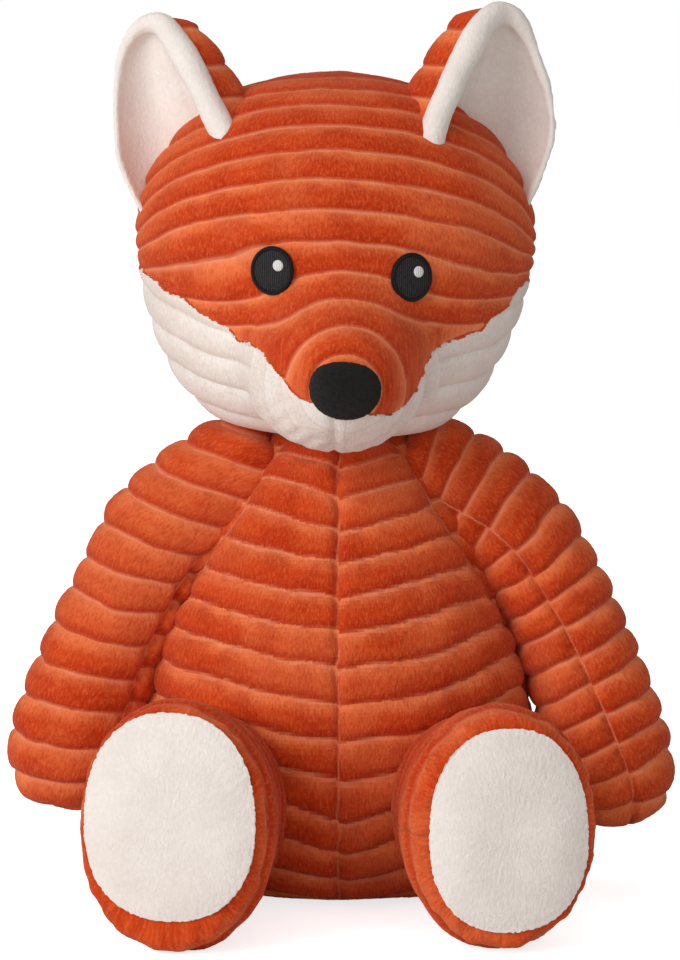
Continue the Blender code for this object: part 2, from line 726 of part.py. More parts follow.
def pose_head(pieces):
    """Turn and tip the head's pieces as the toy carries them."""
    centre = Vector((0, 0, HEAD_BASE + HEAD_HEIGHT / 2))
    shifted = centre + Vector((HEAD_SIDEWAYS, 0, 0))
    pose = (
        Matrix.Translation(shifted) @ Matrix.Rotation(HEAD_TURN, 4, "Z")
        @ Matrix.Rotation(HEAD_ROLL, 4, "Y") @ Matrix.Translation(-centre)
    )
    for piece in pieces:
        piece.data.transform(pose)
    return pose


def add_pivot(name, place, pieces):
    """Empty on a joint's axis that carries the pieces that move with it."""
    pivot = bpy.data.objects.new(name, None)
    bpy.context.collection.objects.link(pivot)
    pivot.location = place
    bpy.context.view_layer.update()
    for piece in pieces:
        piece.parent = pivot
        piece.matrix_parent_inverse = pivot.matrix_world.inverted()
    return pivot


def build():
    clear_scene()
    plush = make_material("rust_plush", RUST, 0.9)
    cheek_plush = make_material("cream_plush", CREAM, 0.9)
    fleece = make_material("cream_fleece", CREAM, 0.95)
    nose_cloth = make_material("black_plush", BLACK, 0.9)
    thread = make_material("black_thread", BLACK, 0.5)
    white_thread = make_material("white_thread", WHITE, 0.5)
    fibre = make_material("fibre_filling", FIBRE, 1.0)
    cotton = make_material("cotton_pouch", COTTON, 0.9)

    make_torso(plush, fibre, cotton)

    head_pieces = make_head(plush, cheek_plush, fibre)
    head_pieces += make_face(thread, white_thread, nose_cloth)
    ears = make_ears(plush, fleece)
    pose = pose_head(head_pieces + ears["left"] + ears["right"])
    for piece in head_pieces:
        if piece.name in ("head_crown", "cheek_left", "cheek_right", "head_stuffing"):
            carve(piece, neck_cup())
    neck = add_pivot("neck_pivot", (0, 0, TORSO_HEIGHT), head_pieces)
    for side, label in ((-1, "left"), (1, "right")):
        crease = pose @ ear_frame(side) @ Vector((0, EAR_CREASE_DEPTH, EAR_CREASE_RISE))
        ear_pivot = add_pivot(f"ear_{label}_pivot", crease, ears[label])
        ear_pivot.parent = neck
        ear_pivot.matrix_parent_inverse = neck.matrix_world.inverted()

        arm = make_arm(side, label, plush, fibre)
        add_pivot(f"shoulder_{label}_pivot", (side * SHOULDER_X, 0, SHOULDER_Z), arm)
        leg = make_leg(side, label, plush, fibre, fleece)
        add_pivot(f"hip_{label}_pivot", (side * HIP_X, LEG_CREASE_Y, LEG_CREASE_Z), leg)
    tail = make_tail(plush, fleece, fibre)
    add_pivot("tail_pivot", (0, TAIL_CREASE_Y, TAIL_CREASE_Z), tail)


build()
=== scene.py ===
import math
import bpy
import numpy as np
from mathutils import Matrix, Vector
from mathutils.bvhtree import BVHTree


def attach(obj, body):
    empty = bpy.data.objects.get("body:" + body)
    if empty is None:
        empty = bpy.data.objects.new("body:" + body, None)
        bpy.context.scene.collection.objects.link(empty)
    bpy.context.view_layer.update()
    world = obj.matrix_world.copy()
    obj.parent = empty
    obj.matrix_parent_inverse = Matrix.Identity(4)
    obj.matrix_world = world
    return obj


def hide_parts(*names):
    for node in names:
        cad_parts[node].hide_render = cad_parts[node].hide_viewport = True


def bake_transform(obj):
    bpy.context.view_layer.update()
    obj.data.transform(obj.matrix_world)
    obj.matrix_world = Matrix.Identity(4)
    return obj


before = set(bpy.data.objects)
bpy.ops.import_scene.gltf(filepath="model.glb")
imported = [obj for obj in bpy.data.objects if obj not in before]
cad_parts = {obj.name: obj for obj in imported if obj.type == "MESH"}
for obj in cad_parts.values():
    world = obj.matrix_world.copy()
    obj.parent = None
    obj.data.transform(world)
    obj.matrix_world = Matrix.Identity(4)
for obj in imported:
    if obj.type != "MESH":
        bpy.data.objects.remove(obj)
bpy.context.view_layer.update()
mm = 0.001
sides = {"left": -1, "right": 1}
filling = {"pressure": 4, "clothMass": 0.02, "steps": 20}
seamLine = 0.45 * mm  # reach of the dark line along a seam
# size of the pile's grain and its relief
deepPile = (1.0 * mm, 0.3 * mm)
shortPile = (1.0 * mm, 0.25 * mm)
nosePile = (0.8 * mm, 0.5 * mm)

# Small tools


def deselectAll():
    bpy.ops.object.select_all(action="DESELECT")


def useAlone(piece):
    deselectAll()
    piece.select_set(True)
    bpy.context.view_layer.objects.active = piece


def applyModifiers(piece):
    useAlone(piece)
    for modifier in list(piece.modifiers):
        bpy.ops.object.modifier_apply(modifier=modifier.name)


def getPoints(piece):
    flat = np.empty(len(piece.data.vertices) * 3, np.float32)
    piece.data.vertices.foreach_get("co", flat)
    return flat.reshape(-1, 3).astype(float)


def setPoints(piece, co):
    piece.data.vertices.foreach_set("co", co.astype(np.float32).ravel())
    piece.data.update()


def getNormals(piece):
    flat = np.empty(len(piece.data.vertices) * 3, np.float32)
    piece.data.vertices.foreach_get("normal", flat)
    return flat.reshape(-1, 3).astype(float)


def setValues(piece, name, values):  # one number per point, which materials read
    layer = piece.data.attributes.get(name) or piece.data.attributes.new(name, "FLOAT", "POINT")
    layer.data.foreach_set("value", np.asarray(values, np.float32))


def markPile(piece, across, along, seam=None):  # wales counted across, length along them, nearness to a seam
    setValues(piece, "across", across)
    setValues(piece, "along", along)
    setValues(piece, "seam", np.zeros(len(across)) if seam is None else seam)


def smoothLine(knots, count=240):  # smooth curve through the knots
    knots = np.array(knots, float)
    padded = np.vstack([2 * knots[0] - knots[1], knots, 2 * knots[-1] - knots[-2]])
    t = np.linspace(0, len(knots) - 1, count)
    i = np.minimum(t.astype(int), len(knots) - 2)
    f = (t - i)[:, None]
    a, b, c, d = padded[i], padded[i + 1], padded[i + 2], padded[i + 3]
    return 0.5 * (2 * b + (c - a) * f + (2 * a - 5 * b + 4 * c - d) * f ** 2
                  + (3 * b - a - 3 * c + d) * f ** 3)


def runAlong(line):
    return np.concatenate([[0], np.cumsum(np.linalg.norm(np.diff(line, axis=0), axis=1))])


def pointAt(line, share):  # places at shares of the line's length
    run = runAlong(line)
    return np.stack([np.interp(share * run[-1], run, line[:, k]) for k in range(line.shape[1])], axis=-1)


def nearestOn(line, co):  # index on the line nearest to each point
    best = np.zeros(len(co), int)
    for start in range(0, len(co), 20000):
        part = co[start:start + 20000]
        gaps = ((part[:, None, :] - line[None, :, :]) ** 2).sum(2)
        best[start:start + 20000] = gaps.argmin(1)
    return best


def distanceTo(line, co):
    return np.linalg.norm(co - line[nearestOn(line, co)], axis=1)


def ramp(low, high, value):  # 0 to 1, smooth at both ends
    t = np.clip((value - low) / (high - low), 0, 1)
    return t * t * (3 - 2 * t)


def drift(co, size, seed=0):  # slow random swell between -1 and 1
    place = co / size + seed * 17.3
    cell = np.floor(place).astype(np.int64)
    part = place - cell
    part = part * part * (3 - 2 * part)
    total = np.zeros(len(co))
    for dx in (0, 1):
        for dy in (0, 1):
            for dz in (0, 1):
                mixed = ((cell[:, 0] + dx) * 73856093 ^ (cell[:, 1] + dy) * 19349663
                         ^ (cell[:, 2] + dz) * 83492791)
                mixed = (mixed ^ (mixed >> 13)) * 1274126177
                value = ((mixed >> 8) & 65535) / 32767.5 - 1
                share = np.where(dx, part[:, 0], 1 - part[:, 0]) * np.where(dy, part[:, 1], 1 - part[:, 1])
                total += value * share * np.where(dz, part[:, 2], 1 - part[:, 2])
    return total


def ballGrid(name, segments, rings):  # round start, with each point's share up it and angle round it
    deselectAll()
    bpy.ops.mesh.primitive_uv_sphere_add(segments=segments, ring_count=rings, radius=1)
    piece = bpy.context.object
    piece.name = name
    piece.data.name = name
    co = getPoints(piece)
    share = 1 - np.arccos(np.clip(co[:, 2], -1, 1)) / math.pi
    return piece, share, np.arctan2(co[:, 1], co[:, 0])


def remesh(piece, cell):
    modifier = piece.modifiers.new("remesh", "REMESH")
    modifier.mode = "VOXEL"
    modifier.voxel_size = cell
    applyModifiers(piece)


def subdivide(piece, levels):
    modifier = piece.modifiers.new("subdivide", "SUBSURF")
    modifier.levels = levels
    modifier.render_levels = levels
    applyModifiers(piece)


def relax(piece, rounds, factor=0.5):
    modifier = piece.modifiers.new("relax", "SMOOTH")
    modifier.factor = factor
    modifier.iterations = rounds
    applyModifiers(piece)


def stuff(piece, pinned, cap):  # cloth blown up by its filling, up to the cap, and held at its seams
    rest = getPoints(piece)
    seams = piece.vertex_groups.new(name="seams")
    seams.add([int(i) for i in np.flatnonzero(pinned)], 1, "REPLACE")
    cloth = piece.modifiers.new("cloth", "CLOTH")
    cloth.settings.mass = filling["clothMass"]
    cloth.settings.vertex_group_mass = "seams"
    cloth.settings.use_pressure = True
    cloth.settings.uniform_pressure_force = filling["pressure"]
    cloth.settings.effector_weights.gravity = 0
    for step in range(1, filling["steps"] + 1):
        bpy.context.scene.frame_set(step)
    applyModifiers(piece)
    bpy.context.scene.frame_set(1)
    moved = getPoints(piece) - rest
    length = np.linalg.norm(moved, axis=1)
    print("   stuffed", piece.name, "moved up to", round(float(length.max()) / mm, 2), "mm")
    setPoints(piece, rest + moved * np.minimum(1, cap / np.maximum(length, 1e-9))[:, None])
    piece.vertex_groups.clear()


def raiseSurface(piece, height):
    setPoints(piece, getPoints(piece) + getNormals(piece) * height[:, None])


def roughen(piece, size, strength):  # uneven pile, as real relief
    texture = bpy.data.textures.new(piece.name + "Pile", "CLOUDS")
    texture.noise_scale = size
    texture.noise_depth = 2
    modifier = piece.modifiers.new("pile", "DISPLACE")
    modifier.texture = texture
    modifier.texture_coords = "LOCAL"
    modifier.strength = strength
    modifier.mid_level = 0.5
    applyModifiers(piece)


def waleShape(across, roundness, ends=0.0):  # 0 in the groove, 1 on a wale; ends is 1 where a wale stops
    part = across - np.floor(across)
    t = np.where(part < 0.44, 1 - part / 0.44, (part - 0.44) / 0.56)
    full = np.clip(1 - t ** roundness - ends ** 2.2, 0, 1)
    return (full ** 2 + 0.004) ** (0.5 / roundness)


def nearness(gap, run):  # 1 at a seam, 0 beyond the run from it
    return np.clip(1 - gap / run, 0, 1)


def evenSeams(piece, labels, rounds=8):  # the points between two panels are drawn into a smooth line
    loops = np.empty(len(piece.data.loops), np.int32)
    piece.data.loops.foreach_get("vertex_index", loops)
    totals = np.empty(len(piece.data.polygons), np.int32)
    piece.data.polygons.foreach_get("loop_total", totals)
    ofLoop = np.repeat(labels, totals)
    low = np.full(len(piece.data.vertices), 99)
    high = np.full(len(piece.data.vertices), -1)
    np.minimum.at(low, loops, ofLoop)
    np.maximum.at(high, loops, ofLoop)
    between = low != high
    edges = np.empty(len(piece.data.edges) * 2, np.int32)
    piece.data.edges.foreach_get("vertices", edges)
    edges = edges.reshape(-1, 2)
    edges = edges[between[edges[:, 0]] & between[edges[:, 1]]]
    co = getPoints(piece)
    for step in range(rounds):
        total = np.zeros_like(co)
        count = np.zeros(len(co))
        for one, other in ((0, 1), (1, 0)):
            np.add.at(total, edges[:, one], co[edges[:, other]])
            np.add.at(count, edges[:, one], 1)
        move = between & (count >= 2)
        co[move] = 0.5 * co[move] + 0.5 * total[move] / count[move][:, None]
    setPoints(piece, co)


def cutPanel(source, name, keep, heart):  # one sewn panel: its faces, turned in at the seam and closed inside
    panel = source.copy()
    panel.data = source.data.copy()
    panel.name = name
    panel.data.name = name
    bpy.context.scene.collection.objects.link(panel)
    useAlone(panel)
    panel.data.vertices.foreach_set("select", np.zeros(len(panel.data.vertices), bool))
    panel.data.edges.foreach_set("select", np.zeros(len(panel.data.edges), bool))
    panel.data.polygons.foreach_set("select", ~keep)
    bpy.context.tool_settings.mesh_select_mode = (False, False, True)
    bpy.ops.object.mode_set(mode="EDIT")
    bpy.ops.mesh.delete(type="FACE")
    bpy.context.tool_settings.mesh_select_mode = (True, False, False)
    bpy.ops.mesh.select_all(action="DESELECT")
    bpy.ops.mesh.select_non_manifold(extend=False, use_wire=False, use_multi_face=False,
                                     use_non_contiguous=False, use_verts=False)
    bpy.ops.mesh.mark_sharp()
    for shrink in (0.95, 0.8):
        bpy.ops.mesh.extrude_region()
        bpy.ops.transform.resize(value=(shrink, shrink, shrink), center_override=heart)
    bpy.ops.mesh.merge(type="CENTER")
    bpy.ops.object.mode_set(mode="OBJECT")
    return panel


def faceOut(piece):
    useAlone(piece)
    bpy.ops.object.mode_set(mode="EDIT")
    bpy.ops.mesh.select_all(action="SELECT")
    bpy.ops.mesh.normals_make_consistent(inside=False)
    bpy.ops.object.mode_set(mode="OBJECT")


def faceCentres(piece):
    flat = np.empty(len(piece.data.polygons) * 3, np.float32)
    piece.data.polygons.foreach_get("center", flat)
    return flat.reshape(-1, 3).astype(float)


def remove(piece):
    bpy.data.objects.remove(piece)


def finishPiece(piece, body, material, nodes, bend=None):
    piece.data.materials.clear()
    piece.data.materials.append(material)
    piece.data.polygons.foreach_set("use_smooth", np.ones(len(piece.data.polygons), bool))
    if bend:  # with a bend, the piece is only baked into place and attached to no body
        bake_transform(piece)
    else:
        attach(piece, body)
    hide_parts(*nodes)
    return piece


# Materials


def addNode(tree, kind, **settings):
    made = tree.nodes.new(kind)
    for key, value in settings.items():
        setattr(made, key, value)
    return made


def wire(tree, source, output, target, place):
    tree.links.new(source.outputs[output], target.inputs[place])


def mathNode(tree, operation, first, second=None, clamp=False):  # a socket or a number in each place
    made = addNode(tree, "ShaderNodeMath", operation=operation, use_clamp=clamp)
    for place, value in enumerate((first, second)):
        if value is None:
            continue
        if isinstance(value, (int, float)):
            made.inputs[place].default_value = value
        else:
            tree.links.new(value, made.inputs[place])
    return made.outputs[0]


def mixColour(tree, amount, first, second, blend="MIX"):
    made = addNode(tree, "ShaderNodeMix", data_type="RGBA", blend_type=blend)
    for place, value in ((0, amount), (6, first), (7, second)):
        if isinstance(value, (int, float)):
            made.inputs[place].default_value = value
        elif isinstance(value, tuple):
            made.inputs[place].default_value = value
        else:
            tree.links.new(value, made.inputs[place])
    return made.outputs[2]


def mapTo(tree, value, low, high, toLow=0.0, toHigh=1.0):
    made = addNode(tree, "ShaderNodeMapRange", interpolation_type="SMOOTHSTEP")
    tree.links.new(value, made.inputs["Value"])
    for name, number in (("From Min", low), ("From Max", high), ("To Min", toLow), ("To Max", toHigh)):
        made.inputs[name].default_value = number
    return made.outputs["Result"]


def noiseNode(tree, vector, scale, detail=3.0, roughness=0.55):
    made = addNode(tree, "ShaderNodeTexNoise")
    made.inputs["Scale"].default_value = scale
    made.inputs["Detail"].default_value = detail
    made.inputs["Roughness"].default_value = roughness
    tree.links.new(vector, made.inputs["Vector"])
    return made.outputs["Fac"]


def makePileGroup():  # short pile: brushed patches, a painted highlight on the upper slope and painted shade on the lower slope of each wale
    group = bpy.data.node_groups.new("pile", "ShaderNodeTree")
    for name, kind in (("Colour", "NodeSocketColor"), ("Shade", "NodeSocketColor"),
                       ("TipAndHighlight", "NodeSocketColor"),
                       ("Groove", "NodeSocketColor"), ("Groove Amount", "NodeSocketFloat"),
                       ("Patch Amount", "NodeSocketFloat"), ("Slope Light Amount", "NodeSocketFloat"),
                       ("Grain Amount", "NodeSocketFloat")):
        group.interface.new_socket(name, in_out="INPUT", socket_type=kind)
    group.interface.new_socket("Colour", in_out="OUTPUT", socket_type="NodeSocketColor")
    group.interface.new_socket("Height", in_out="OUTPUT", socket_type="NodeSocketFloat")
    into = addNode(group, "NodeGroupInput")
    out = addNode(group, "NodeGroupOutput")
    place = addNode(group, "ShaderNodeTexCoord").outputs["Object"]
    across = addNode(group, "ShaderNodeAttribute", attribute_name="across").outputs["Fac"]
    along = addNode(group, "ShaderNodeAttribute", attribute_name="along").outputs["Fac"]
    seam = addNode(group, "ShaderNodeAttribute", attribute_name="seam").outputs["Fac"]

    def strip(alongSize, perWale):  # coordinates that follow the wales
        made = addNode(group, "ShaderNodeCombineXYZ")
        group.links.new(mathNode(group, "MULTIPLY", along, 1 / alongSize), made.inputs["X"])
        group.links.new(mathNode(group, "MULTIPLY", across, perWale), made.inputs["Y"])
        return made.outputs["Vector"]

    rows = noiseNode(group, strip(0.75 * mm, 5.5), 1.0, 3.0, 0.6)
    grain = noiseNode(group, place, 1300.0, 4.0, 0.7)
    brushed = noiseNode(group, strip(13 * mm, 1.0), 1.0, 3.0, 0.6)
    clouds = noiseNode(group, place, 75.0, 4.0, 0.6)

    patch = mapTo(group, mathNode(group, "ADD", mathNode(group, "MULTIPLY", brushed, 0.5),
                                  mathNode(group, "MULTIPLY", clouds, 0.5)), 0.40, 0.60)
    base = mixColour(group, mathNode(group, "MULTIPLY", patch, into.outputs["Patch Amount"]),
                     into.outputs["Colour"], into.outputs["Shade"])
    # here and there the pile was stroked the other way
    swept = mapTo(group, noiseNode(group, place, 30.0, 2.0, 0.5), 0.48, 0.66, 0.0, 0.6)
    base = mixColour(group, mathNode(group, "MULTIPLY", swept, into.outputs["Patch Amount"]), base,
                     into.outputs["TipAndHighlight"])
    # painted light: each wale's upper slope is mixed toward the tip colour as a painted highlight, its lower
    # slope toward the shade colour as painted shade
    wale = mathNode(group, "FRACT", across)
    upper = mapTo(group, wale, 0.48, 1.0)
    lower = mapTo(group, wale, 0.40, 0.0)
    away = mathNode(group, "SUBTRACT", 1.0, patch)
    slopeHighlight = mathNode(group, "MULTIPLY",
                      mathNode(group, "MULTIPLY", upper, mathNode(group, "ADD", away, 0.45)),
                      into.outputs["Slope Light Amount"], clamp=True)
    slopeShade = mathNode(group, "MULTIPLY", lower, into.outputs["Slope Light Amount"])
    slopeLitColour = mixColour(group, slopeHighlight, mixColour(group, slopeShade, base, into.outputs["Shade"]),
                       into.outputs["TipAndHighlight"])
    speck = mathNode(group, "ADD", mathNode(group, "MULTIPLY", rows, 0.6),
                     mathNode(group, "MULTIPLY", grain, 0.4))
    light = mathNode(group, "MULTIPLY", mapTo(group, speck, 0.46, 0.74), into.outputs["Grain Amount"])
    dark = mathNode(group, "MULTIPLY", mapTo(group, speck, 0.54, 0.32), into.outputs["Grain Amount"])
    grained = mixColour(group, light, mixColour(group, dark, slopeLitColour, into.outputs["Shade"]),
                        into.outputs["TipAndHighlight"])
    edge = mathNode(group, "MINIMUM", mathNode(group, "MULTIPLY", wale, 1.6),
                    mathNode(group, "SUBTRACT", 1.0, wale))
    wavy = mathNode(group, "ADD", edge,
                    mathNode(group, "MULTIPLY", mathNode(group, "SUBTRACT", speck, 0.5), 0.22))
    groove = mathNode(group, "MAXIMUM", mapTo(group, wavy, -0.03, 0.17, 1.0, 0.0),
                      mapTo(group, seam, 0.4, 0.95))
    broken = mathNode(group, "MULTIPLY", groove, mapTo(group, clouds, 0.36, 0.58, 0.25, 1.0))
    colour = mixColour(group, mathNode(group, "MULTIPLY", broken, into.outputs["Groove Amount"]), grained,
                       into.outputs["Groove"])
    group.links.new(colour, out.inputs["Colour"])
    height = mathNode(group, "ADD", mathNode(group, "MULTIPLY", rows, 0.5),
                      mathNode(group, "MULTIPLY", grain, 0.5))
    group.links.new(height, out.inputs["Height"])
    return group


pileGroup = makePileGroup()


def pileMaterial(name, colours, amounts, sheen=0.3, sheenTint=(1, 0.5, 0.32, 1), bump=0.6):
    material = bpy.data.materials.new(name)
    material.use_nodes = True
    tree = material.node_tree
    shader = tree.nodes["Principled BSDF"]
    pile = addNode(tree, "ShaderNodeGroup", node_tree=pileGroup)
    for socket, value in zip(("Colour", "Shade", "TipAndHighlight", "Groove"), colours):
        pile.inputs[socket].default_value = value + (1,)
    for socket, value in zip(("Groove Amount", "Patch Amount", "Slope Light Amount", "Grain Amount"), amounts):
        pile.inputs[socket].default_value = value
    wire(tree, pile, "Colour", shader, "Base Color")
    relief = addNode(tree, "ShaderNodeBump")
    relief.inputs["Strength"].default_value = bump
    relief.inputs["Distance"].default_value = 0.7 * mm
    wire(tree, pile, "Height", relief, "Height")
    wire(tree, relief, "Normal", shader, "Normal")
    shader.inputs["Roughness"].default_value = 0.95
    shader.inputs["Specular IOR Level"].default_value = 0.1
    shader.inputs["Sheen Weight"].default_value = sheen
    shader.inputs["Sheen Roughness"].default_value = 0.45
    shader.inputs["Sheen Tint"].default_value = sheenTint
    return material


# colours: pile, pressed pile (also the painted shade on lower slopes), pile tips (also the painted highlight
# on upper slopes), groove colour (backing on the rust plush, painted shade on the cream plush); amounts:
# groove, patches, painted light on the slopes, grain
rustPlush = pileMaterial("rustPlush", ((0.63, 0.062, 0.009), (0.43, 0.022, 0.002), (0.86, 0.20, 0.066),
                                       (0.92, 0.36, 0.19)),
                         (0.55, 0.6, 0.8, 0.52), 0.26, (1, 0.48, 0.30, 1), 0.9)
# the cream plush's darker groove colour is painted shade in its grooves
creamPlush = pileMaterial("creamPlush", ((0.83, 0.73, 0.655), (0.72, 0.60, 0.52), (0.92, 0.86, 0.81),
                                         (0.60, 0.47, 0.39)), (0.32, 0.5, 0.5, 0.6), 0.2, (1, 0.97, 0.94, 1))
creamFleece = pileMaterial("creamFleece", ((0.84, 0.76, 0.70), (0.75, 0.66, 0.60), (0.92, 0.88, 0.84),
                                           (0.78, 0.7, 0.64)), (0.0, 0.5, 0.0, 0.4), 0.2, (1, 0.98, 0.96, 1))
blackPlush = pileMaterial("blackPlush", ((0.012, 0.009, 0.009), (0.006, 0.005, 0.005), (0.035, 0.03, 0.03),
                                         (0.01, 0.01, 0.01)),
                          (0.0, 0.5, 0.0, 0.7), 0.06, (1, 0.95, 0.9, 1), 0.9)


def threadMaterial(name, colour, dark, sheen):  # satin stitches side by side
    material = bpy.data.materials.new(name)
    material.use_nodes = True
    tree = material.node_tree
    shader = tree.nodes["Principled BSDF"]
    place = addNode(tree, "ShaderNodeTexCoord").outputs["Object"]
    stitches = addNode(tree, "ShaderNodeTexWave", wave_type="BANDS", bands_direction="X")
    stitches.inputs["Scale"].default_value = 620.0
    stitches.inputs["Distortion"].default_value = 2.5
    stitches.inputs["Detail"].default_value = 2.0
    tree.links.new(place, stitches.inputs["Vector"])
    fuzz = noiseNode(tree, place, 2600.0, 2.0)
    glossy = mathNode(tree, "MULTIPLY", stitches.outputs["Fac"], fuzz)
    colourOut = mixColour(tree, mapTo(tree, glossy, 0.1, 0.6), dark, colour)
    tree.links.new(colourOut, shader.inputs["Base Color"])
    relief = addNode(tree, "ShaderNodeBump")
    relief.inputs["Strength"].default_value = 0.7
    relief.inputs["Distance"].default_value = 0.15 * mm
    wire(tree, stitches, "Fac", relief, "Height")
    wire(tree, relief, "Normal", shader, "Normal")
    shader.inputs["Roughness"].default_value = 0.6
    shader.inputs["Specular IOR Level"].default_value = 0.2
    shader.inputs["Sheen Weight"].default_value = sheen
    return material


blackThread = threadMaterial("blackThread", (0.042, 0.038, 0.040, 1), (0.005, 0.004, 0.005, 1), 0.04)
edgeThread = threadMaterial("edgeThread", (0.010, 0.009, 0.010, 1), (0.003, 0.002, 0.003, 1), 0.02)
whiteThread = threadMaterial("whiteThread", (0.86, 0.85, 0.84, 1), (0.6, 0.58, 0.57, 1), 0.2)

# Torso: two front panels that meet in a chevron, and a back

torso = {
    "height": 129 * mm, "halfWidth": 53.5 * mm, "halfDepth": 46 * mm,
    "profile": ((0, 0), (0.45, 0), (0.68, 0.003), (0.83, 0.05), (0.945, 0.16), (1.0, 0.37), (0.935, 0.54),
                (0.775, 0.71), (0.62, 0.84), (0.47, 0.93), (0.28, 0.985), (0, 1.0)),
    "walePitch": 10 * mm, "waleHeight": 2.2 * mm, "grooveAt": 56.3 * mm,
    "leftSlope": 0.19, "rightSlope": 0.22,
    # side seam of the front panels: height in mm and turn forward from the side in degrees
    "sideSeam": ((0, 12), (40, 9), (65, 11), (80, 20), (92, 27), (106, 38), (129, 40)),
    "centreEnds": 2.2 * mm, "sideEnds": 6 * mm, "swell": 1.5 * mm,
    "seamDepth": 0.7 * mm, "seamWidth": 2.0 * mm, "cell": 4.3 * mm,
}


def pastSideSeam(co):  # angle from the side seam, positive on the front panels
    heights, turns = np.array(torso["sideSeam"]).T
    turn = np.arctan2(-co[:, 1] * torso["halfWidth"] / torso["halfDepth"], np.abs(co[:, 0]))
    return turn - np.radians(np.interp(co[:, 2], heights * mm, turns))


def makeTorso():
    t = torso
    form, share, angle = ballGrid("torsoForm", 48, 40)
    profile = smoothLine([(r * t["halfWidth"], h * t["height"]) for r, h in t["profile"]])
    spot = pointAt(profile, share)
    radius = np.maximum(spot[:, 0], 0)
    setPoints(form, np.stack([radius * np.cos(angle),
                              radius * np.sin(angle) * t["halfDepth"] / t["halfWidth"],
                              spot[:, 1]], 1))
    remesh(form, t["cell"])
    co = getPoints(form)
    pinned = (np.abs(co[:, 0]) < t["cell"] * 0.6) & (co[:, 1] < 0)
    pinned |= (co[:, 2] < 3 * mm) | (co[:, 2] > 122 * mm)
    stuff(form, pinned, t["swell"])
    co = getPoints(form)
    co[:, 2] = np.maximum(co[:, 2], 0.8 * mm)
    setPoints(form, co)
    subdivide(form, 3)
    centre = faceCentres(form)
    labels = np.where(pastSideSeam(centre) < 0, 2, np.where(centre[:, 0] < 0, 0, 1))
    evenSeams(form, labels)

    co = getPoints(form)
    flat = np.hypot(co[:, 0], co[:, 1] * t["halfWidth"] / t["halfDepth"])
    run = runAlong(profile)[nearestOn(profile, np.stack([flat, co[:, 2]], 1))]
    grooveRun = np.interp(t["grooveAt"], profile[:, 1], runAlong(profile))
    sideGap = pastSideSeam(co) * np.hypot(co[:, 0], co[:, 1])
    front = sideGap > 0
    slope = np.where(front, np.where(co[:, 0] < 0, t["leftSlope"], t["rightSlope"]), 0)
    offset = np.where(front, np.where(co[:, 0] < 0, 0.0, 0.12), 0.45)
    wander = 1.4 * mm * drift(co, 22 * mm, 3) + 0.6 * mm * drift(co, 7 * mm, 4)
    across = (run - grooveRun - slope * np.abs(co[:, 0]) + wander) / t["walePitch"] + offset
    along = np.arctan2(co[:, 1], co[:, 0]) * t["halfWidth"]
    centreGap = np.where(front, np.abs(co[:, 0] + 0.6 * mm * drift(co, 5 * mm, 9)), 1)
    sideGap = np.abs(sideGap)
    ends = np.maximum(nearness(centreGap, t["centreEnds"]), nearness(sideGap, t["sideEnds"]))
    seamGap = np.minimum(centreGap, sideGap)
    nearSeam = np.exp(-(seamGap / t["seamWidth"]) ** 2)
    height = t["waleHeight"] * (waleShape(across, 2.0, ends) * (1 + 0.24 * drift(co, 14 * mm, 7)) - 0.6)
    height -= t["seamDepth"] * nearSeam * (1 + 0.6 * drift(co, 4 * mm, 1))
    height[co[:, 2] < 2 * mm] = 0
    markPile(form, across, along, np.exp(-(seamGap / seamLine) ** 2))
    raiseSurface(form, height)
    relax(form, 2)
    co = getPoints(form)
    co[:, 2] = np.maximum(co[:, 2], 0.3 * mm)
    setPoints(form, co)
    roughen(form, *deepPile)

    panels = (("bodyFrontLeft", 0, (-20 * mm, -20 * mm, 60 * mm), ["body_front_left"]),
              ("bodyFrontRight", 1, (20 * mm, -20 * mm, 60 * mm), ["body_front_right"]),
              ("bodyBack", 2, (0, 10 * mm, 60 * mm), ["body_back", "body_stuffing", "pellet_pouch"]))
    for name, label, heart, nodes in panels:
        panel = cutPanel(form, name, labels == label, heart)
        finishPiece(panel, "torso", rustPlush, nodes)
    remove(form)
    print("torso sewn")


makeTorso()

# Head: crown and two white cheeks over one stuffed form

